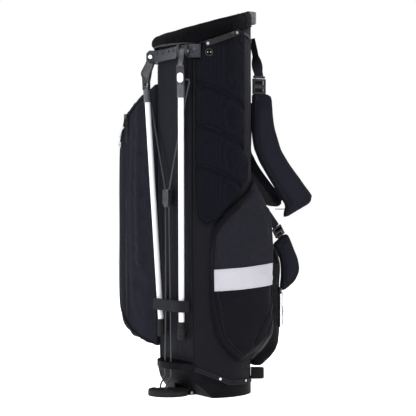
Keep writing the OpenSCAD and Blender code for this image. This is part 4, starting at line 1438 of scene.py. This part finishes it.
def make_keeper():
    """A hook-and-loop band round both legs, with a flap at one end."""
    plan = [(-0.074, -0.084), (-0.068, -0.095), (-0.058, -0.1005), (-0.040, -0.1025), (0, -0.1035),
            (0.040, -0.1025), (0.058, -0.1005), (0.066, -0.094), (0.070, -0.082)]
    middle = sum(KEEPER_Z) / 2
    path = even_path(smooth_path([(x, y, middle) for x, y in plan], 8), 0.003)[0]
    ups = level_sides(path)
    band = sweep("keeper_band", path, flat_section(KEEPER_Z[1] - KEEPER_Z[0], 0.0022), ups)
    rumple(band, 0.0007, 0.02)
    flap_path = path[-16:] + unit(-ups[-16:]) * -0.0022
    flap = sweep("keeper_flap", flap_path, flat_section(0.025, 0.0018), ups[-16:])
    for part in (band, flap):
        place_piece(part, "webbing")
        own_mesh(part)
    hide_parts("keeper_strap")


def make_hem():
    """The cloth's hem round the top of the boot, sewn twice."""
    angles = np.linspace(-312, -48, 200)
    spots = polar(angles, TUBE_R + 0.0009, 0)
    middle = np.interp(spots[:, 1], [-0.0735, 0, TUBE_R], [0.0655, 0.0335, 0.0295])
    line = spots + middle[:, None] * np.array((0, 0, 1))
    band = sweep("boot_hem_band", line, flat_section(0.0115, 0.0017), -inward(line))
    place_piece(band, "webbing", replaces=["boot_hem"])
    rows = [(line + (0, 0, up) - inward(line) * 0.0009, -inward(line)) for up in (-0.0042, 0.0042)]
    place_piece(stitches("boot_hem_stitches", rows), "thread")


# ---------------------------------------------------------------- zip pulls


def make_pull(which, cord_points, tube_points=None, tab=None):
    """A pull as three pieces: a cord loop, a curved tube on it, and a flat tab."""
    low, high, level, out = zip_frame(which)
    up = unit(high - low)
    pull = JOINTS[which + "_pull_swing"]
    pivot = np.array(pull["pos_m"], float)
    body = which + "_pull"

    def spot(points):
        return np.array([pivot + level * x + out * o + up * z for x, o, z in points])

    cord = spot(smooth_path(cord_points, 8))
    twin = []
    for side in (-1, 1):
        bend = np.sin(np.linspace(0, math.pi, len(cord)))[:, None] * 0.0013
        twin.append(sweep_points(cord + level * side * bend, round_section(0.00085, 8)))
    place_piece(outward(mesh_piece(which + "_pull_cord", *join_parts(twin))), "cord", body,
                [which + "_pull"])
    if tube_points:
        path = spot(smooth_path(tube_points, 8))
        round_off = np.clip(np.minimum(np.arange(len(path)),
                                       len(path) - 1 - np.arange(len(path))) / 2, 0, 1)
        tube = sweep(which + "_pull_tube", path, round_section(0.0025, 14),
                     scale=0.7 + 0.3 * round_off)
        place_piece(tube, "pull_white", body)
    if tab:
        x, o, z = tab
        count = 40
        rim_line = [spot([(x + 0.0040 * math.copysign(abs(math.cos(a)) ** 0.6, math.cos(a)), o,
                           z + 0.0085 * math.copysign(abs(math.sin(a)) ** 0.7, math.sin(a)))])[0]
                    for a in np.linspace(0, 2 * math.pi, count, endpoint=False)]
        centre = spot([tab])[0]
        rings = [centre + (np.array(rim_line) - centre) * share + out * lift for share, lift in
                 ((0.25, -0.0012), (0.8, -0.0013), (0.97, -0.0008), (1.0, 0), (0.97, 0.0008),
                  (0.8, 0.0013), (0.25, 0.0012))]
        faces = [(i * count + k, i * count + (k + 1) % count,
                  ((i + 1) % 7) * count + (k + 1) % count,
                  ((i + 1) % 7) * count + k) for i in range(7) for k in range(count)]
        plate = outward(mesh_piece(which + "_pull_tab", np.concatenate(rings), faces))
        place_piece(plate, "clear_tab", body)


def make_pulls():
    make_pull("apparel", [(0, 0, 0.0005), (-0.002, -0.0006, -0.009), (-0.005, -0.001, -0.021),
                          (-0.009, -0.001, -0.035), (-0.013, -0.0006, -0.048), (-0.016, 0, -0.058)],
              [(-0.003, 0, -0.021), (-0.0085, 0.0006, -0.0265), (-0.0145, 0.0006, -0.037),
               (-0.0185, 0, -0.047)], (-0.017, 0, -0.0635))
    make_pull("ball", [(0, 0, 0.0005), (0, -0.0006, -0.011), (0.001, -0.001, -0.023),
                       (0.001, -0.001, -0.037), (0.001, -0.0006, -0.049), (0.001, 0, -0.062)],
              [(0.001, 0, -0.033), (0.0022, 0.0006, -0.041), (0.0018, 0.0006, -0.049),
               (0.001, 0, -0.055)],
              (0.001, 0, -0.0695))
    make_pull("side", [(0, 0, 0.0005), (0.0018, -0.0006, -0.0095), (0.004, -0.0014, -0.0255),
                       (0.005, -0.0014, -0.0415), (0.0048, -0.0006, -0.0555)])


# ---------------------------------------------------------------- hard parts

# CAD nodes that get rounded edges: node, body, bevel in metres, material, slot
ROUNDED = [
    ("boot", "root", 0.0012, "boot", "black_plastic"),
    ("leg_bracket", "root", 0.0011, "bracket", "black_plastic"),
    ("top_collar", "root", 0.0008, "black_plastic", "black_plastic"),
    ("divider_frame", "root", 0.0014, "black_plastic", "black_plastic"),
    ("rod_connector", "rods", 0.0008, "black_plastic", "black_plastic"),
    ("leg_yoke_right", "leg_right", 0.0010, "yoke", "black_plastic"),
    ("leg_yoke_left", "leg_left", 0.0010, "yoke", "black_plastic"),
    ("leg_cap_right", "leg_right", 0.0007, "grey_plastic", "grey_plastic"),
    ("leg_cap_left", "leg_left", 0.0007, "grey_plastic", "grey_plastic"),
    ("pivot_disc_right", "leg_right", 0.0007, "white_plastic", "white_plastic"),
    ("pivot_disc_left", "leg_left", 0.0007, "white_plastic", "white_plastic"),
    ("leg_foot_right", "leg_right", 0.0005, "rubber", "rubber"),
    ("leg_foot_left", "leg_left", 0.0005, "rubber", "rubber"),
    ("foot_plate", "foot_plate", 0.0008, "rubber", "rubber"),
    ("strap_right_buckle", "root", 0.0007, "black_plastic", "black_plastic"),
    ("strap_left_buckle", "root", 0.0007, "black_plastic", "black_plastic"),
    ("strap_lower_buckle", "root", 0.0007, "black_plastic", "black_plastic"),
    ("grommet", "root", 0.0005, "black_plastic", "black_plastic"),
    ("apparel_slider", "apparel_slider", 0.0004, "dark_steel", "dark_steel"),
    ("side_slider", "side_slider", 0.0004, "dark_steel", "dark_steel"),
    ("ball_slider", "ball_slider", 0.0004, "dark_steel", "dark_steel"),
]


BEVEL_ANGLE = math.radians(38)
SHARP_ANGLE = math.radians(36)
SAME_SPOT = 2e-6


def round_edges():
    """Moulded edges: a copy of each hard node with its sharp edges rounded over."""
    for node, body, width, material, slot in ROUNDED:
        mesh = bmesh.new()
        mesh.from_mesh(NODES[node].data)
        bmesh.ops.remove_doubles(mesh, verts=mesh.verts, dist=SAME_SPOT)
        bmesh.ops.dissolve_limit(mesh, angle_limit=math.radians(1), verts=mesh.verts,
                                 edges=mesh.edges)
        data = bpy.data.meshes.new(node + "_moulded")
        mesh.to_mesh(data)
        mesh.free()
        piece = bpy.data.objects.new(node + "_moulded", data)
        bpy.context.collection.objects.link(piece)
        modify(piece, "BEVEL", width=width, segments=3, limit_method="ANGLE",
               angle_limit=BEVEL_ANGLE, use_clamp_overlap=True)
        bake(piece)
        piece.data.set_sharp_from_angle(angle=SHARP_ANGLE)
        place_piece(piece, material, body, [node])


def make_grommet_pins():
    """Two brass pins in the grommet on the hip pad."""
    low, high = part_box("grommet")
    middle = (low + high) / 2
    reach, turn = middle.xy.length, math.degrees(math.atan2(middle.x, -middle.y))
    pins = []
    for side in (-1.6, 1.6):
        line = [polar(turn + side, reach + out, middle.z)
                for out in (-0.0012, 0.0008, 0.0026, 0.0032)]
        pins.append(sweep_points(line, round_section(0.0013, 14), (0, 0, 1), scale=[1, 1, 1, 0.6]))
    place_piece(outward(mesh_piece("grommet_pins", *join_parts(pins))), "brass")


def make_sheets():
    """The divider's two sheets of cloth, hung from its frame to the boot."""
    for name, plane in (("divider_sheet_long", "yz"), ("divider_sheet_cross", "xz")):
        columns, rows = 40, 120
        shares, heights = np.meshgrid(np.linspace(-1, 1, columns), np.linspace(0, 1, rows))
        if plane == "yz":
            low_front, high_front = -0.062, -0.084
            edge = 0.095
            left = np.interp(heights, [0, 0.1, 1], [low_front + 0.004, low_front, high_front])
            across = left + (edge - left) * (shares + 1) / 2
            bottom = np.interp(across, [-0.064, -0.034, 0.1], [0.062, 0.009, 0.009])
            top = rim(across, 0.0455)
        else:
            edge = 0.0955
            across = shares * edge
            bottom, top = np.full_like(across, 0.008), np.full_like(across, rim(0, 0.0455))
        z = bottom + (top - bottom) * heights
        bow = 0.0016 * np.sin(across * 60 + z * 9) * np.sin(math.pi * heights)
        spots = (bow, across, z) if plane == "yz" else (across, bow, z)
        faces = [(i * columns + k, i * columns + k + 1, (i + 1) * columns + k + 1,
                  (i + 1) * columns + k)
                 for i in range(rows - 1) for k in range(columns - 1)]
        piece = mesh_piece(name, np.stack(spots, -1).reshape(-1, 3), faces)
        place_piece(piece, "lining", replaces=["divider_sheets"])


make_camera()
make_studio()
make_materials()
dress_nodes()
make_body()
cuff = make_cuff()
soft = make_soft_solids()
straps = make_straps()
inflate_all()
finish_cuff(cuff)
finish_pad(soft["pad"])
finish_side(soft["side"])
finish_apparel(soft["apparel"])
finish_ball(soft["ball"])
finish_strap(straps["left"], LEFT_PAD, LEFT_X, STRAP_W, "strap_left_pad")
finish_plate(straps["right"], RIGHT_OUTLINE, RIGHT_X, "strap_right_pad")
finish_plate(straps["lower"], LOWER_OUTLINE, RIGHT_X - 0.003, "strap_lower_pad")
make_handles()
make_base_loop()
make_keeper()
make_hem()
for which in ("apparel", "side", "ball"):
    make_zip(which)
make_pulls()
make_sheets()
round_edges()
make_grommet_pins()
